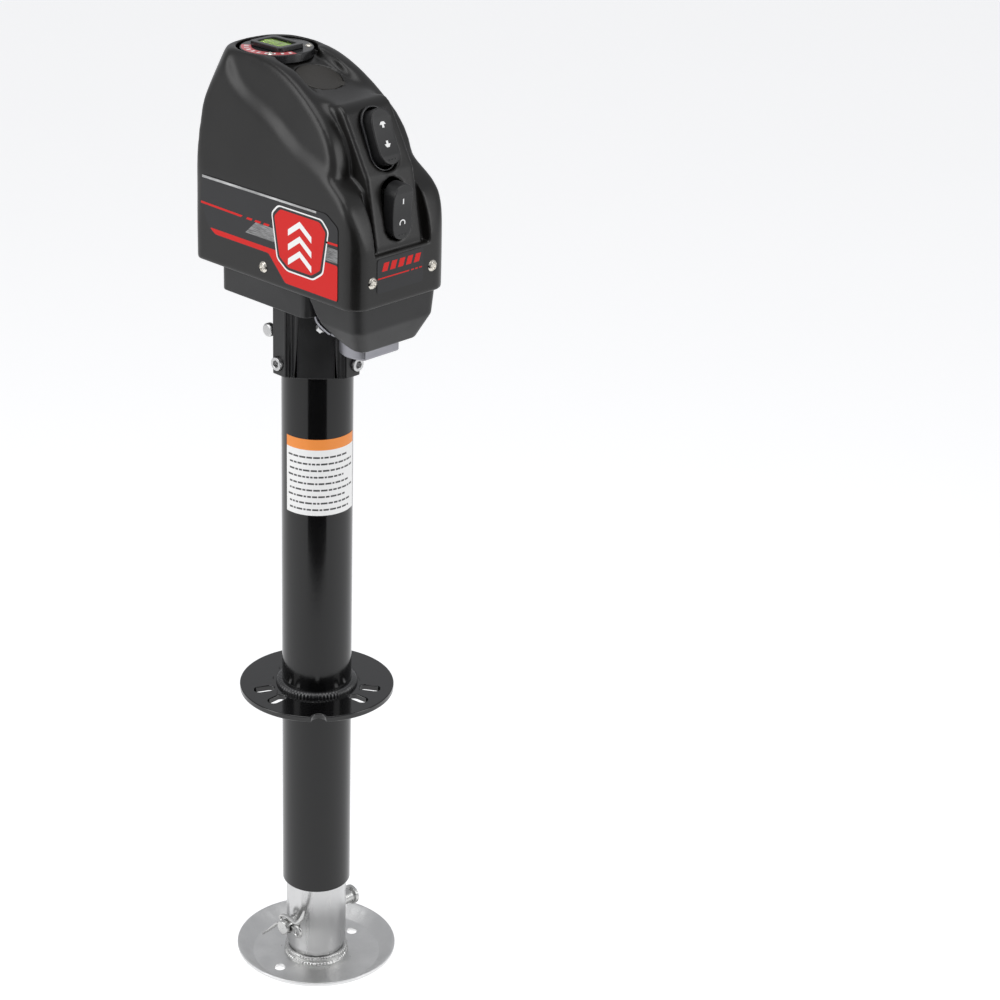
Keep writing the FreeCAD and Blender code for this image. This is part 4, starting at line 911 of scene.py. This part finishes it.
def buildSideFilm(side, name):
    shape = bmesh.new()
    colours = ["filmBlack", "filmSilver", "filmRed", "filmBrushed", "filmWhite"]
    black, silver, red, brushed, white = range(5)

    def patch(outline, layer, surface, radius=0.0):
        points = roundedOutline(outline, radius) if radius else outline
        plate(shape, points, film["thick"], sideMatrix(side, layer), surface)

    patch(sideFilm["panel"], 0, black, 3.0)
    patch(sideFilm["topLine"], 1, silver)
    patch(sideFilm["brushed"], 1, brushed)
    patch(sideFilm["redBand"], 1, red, 2.0)
    patch(sideFilm["redLine"], 1, red)
    patch(sideFilm["redLineFront"], 2, red)
    low, high = sideFilm["dashHeights"]
    for start, length in sideFilm["dashes"]:
        end = start - length
        patch([(start, low), (end, low), (end - 1.6, high), (start - 1.6, high)], 2, red)
    patch(sideFilm["badge"], 2, white, 3.0)
    patch(inset(sideFilm["badge"], 1.5), 3, black, 2.6)
    patch(inset(sideFilm["badge"], 4.0), 4, red, 2.0)
    for k in range(3):  # plain lift arrows
        top = sideFilm["arrowTop"] - k * sideFilm["arrowPitch"]
        patch([(-34, top), (-47, top - 9), (-47, top - 14), (-34, top - 5), (-21, top - 14),
               (-21, top - 9)], 5, white)
    piece = asPiece(name, shape, colours)
    return placed(piece, "stand", "decal_film", *(["side_decals"] if side < 0 else []))


frontFilm = {"panel": [(-26.7, 632.0), (21.0, 632.0), (21.0, 658.6), (-26.7, 658.6)]}


def buildFrontFilm():
    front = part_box("cover")[0].y
    shape = bmesh.new()
    columns = Matrix(((1, 0, 0, 0), (0, 0, -1, 0), (0, 1, 0, 0), (0, 0, 0, 1)))

    def patch(outline, layer, surface, radius=0.0):
        points = roundedOutline(outline, radius) if radius else outline
        lift = Matrix.Translation((0, front - (film["lift"] + layer * film["step"]) * mm, 0))
        plate(shape, points, film["thick"], lift @ columns, surface)

    patch(frontFilm["panel"], 0, 0, 2.4)
    for k in range(5):
        left = -22 + k * 8.2
        patch([(left, 648.5), (left + 5.4, 648.5), (left + 7.6, 655.0), (left + 2.2, 655.0)], 1, 1)
    patch([(-26.0, 643.0), (6.0, 643.0), (6.3, 644.0), (-26.0, 644.0)], 1, 1)
    for start in (8.0, 12.2, 16.4):
        patch([(start, 643.0), (start + 2.8, 643.0), (start + 3.2, 644.0), (start + 0.4, 644.0)], 1, 1)
    piece = asPiece("front_film", shape, ["filmBlack", "filmRed"])
    placed(piece, "stand", "decal_film", "front_decal")


tubeLabel = {"centre": -123.3, "halfAngle": 66.0, "low": 426.0, "high": 491.0, "band": 9.0, "rows": 9,
             "firstRow": 5.5, "rowPitch": 5.6, "rowHeight": 1.5, "barLength": (3.5, 11), "barGap": 1.8,
             "ragged": (6, 30), "seed": 5}


def wrapped(shape, radius, start, end, low, high, thickness, surface, steps):
    # curved patch on the tube between two angles
    before = set(shape.verts)
    x, y = radius * mm * math.cos(math.radians(start)), radius * mm * math.sin(math.radians(start))
    ring = [shape.verts.new((x, y, z * mm)) for z in (low, high)]
    side = shape.edges.new(ring)
    bmesh.ops.spin(shape, geom=ring + [side], cent=(0, 0, 0), axis=zAxis,
                   angle=math.radians(end - start), steps=steps)
    made = [v for v in shape.verts if v not in before]
    faces = list({f for v in made for f in v.link_faces})
    bmesh.ops.recalc_face_normals(shape, faces=faces)
    if faces[0].normal.dot(faces[0].calc_center_median() * Vector((1, 1, 0))) < 0:
        bmesh.ops.reverse_faces(shape, faces=faces)
    bmesh.ops.solidify(shape, geom=faces, thickness=-thickness * mm)
    for f in {f for v in shape.verts if v not in before for f in v.link_faces}:
        f.material_index = surface


def buildTubeLabel():
    rng = random.Random(tubeLabel["seed"])
    shape = bmesh.new()
    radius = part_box("outer_tube")[1].x / mm + 0.04
    first = tubeLabel["centre"] - tubeLabel["halfAngle"]
    last = tubeLabel["centre"] + tubeLabel["halfAngle"]
    low, high, band = tubeLabel["low"], tubeLabel["high"], tubeLabel["band"]
    wrapped(shape, radius, first, last, low, high - band, 0.12, 0, 48)
    wrapped(shape, radius, first, last, high - band, high, 0.12, 1, 48)
    for row in range(tubeLabel["rows"]):
        top = high - band - tubeLabel["firstRow"] - row * tubeLabel["rowPitch"]
        angle = first + (8 if row % 3 else 5)
        stop = last - rng.uniform(*tubeLabel["ragged"])
        while angle < stop:
            length = rng.uniform(*tubeLabel["barLength"])
            end = min(angle + length, stop)
            wrapped(shape, radius + 0.13, angle, end, top - tubeLabel["rowHeight"], top, 0.03, 2, 3)
            angle += length + tubeLabel["barGap"]
    piece = asPiece("tube_label_film", shape, ["filmWhite", "filmOrange", "printGrey"])
    placed(piece, "stand", "label_film", "tube_label")


buildSideFilm(-1, "side_film_left")
buildSideFilm(1, "side_film_right")
buildFrontFilm()
buildTubeLabel()
print("films made")


# finish of the CAD parts that stay

kept = {
    "machined_steel": "innerSteel", "bronze": "innerBronze", "copper": "innerBronze", "nylon": "innerNylon",
    "magnet": "innerMagnet", "motor_steel": "motorSteel", "zinc_plate": "pinZinc",
    "cast_metal": "castPaint",
    "screw_steel": "screwNickel", "switch_plastic": "coverPlastic", "black_plastic": "coverPlastic",
    "soft_rubber": "plugRubber", "vial_air": "vialGlass", "vial_glass": "vialGlass", "zinc_tube": "ramZinc",
    "gloss_black_paint": "tubePaint", "label_film": "filmWhite", "decal_film": "filmBlack",
}


def finishKept():
    for part in frame["record"]["subparts"]:
        target = nodes[part["node"]]
        target.data.materials.clear()
        target.data.materials.append(paints[kept[part["material_slot"]]])


finishKept()
print("scene ready")
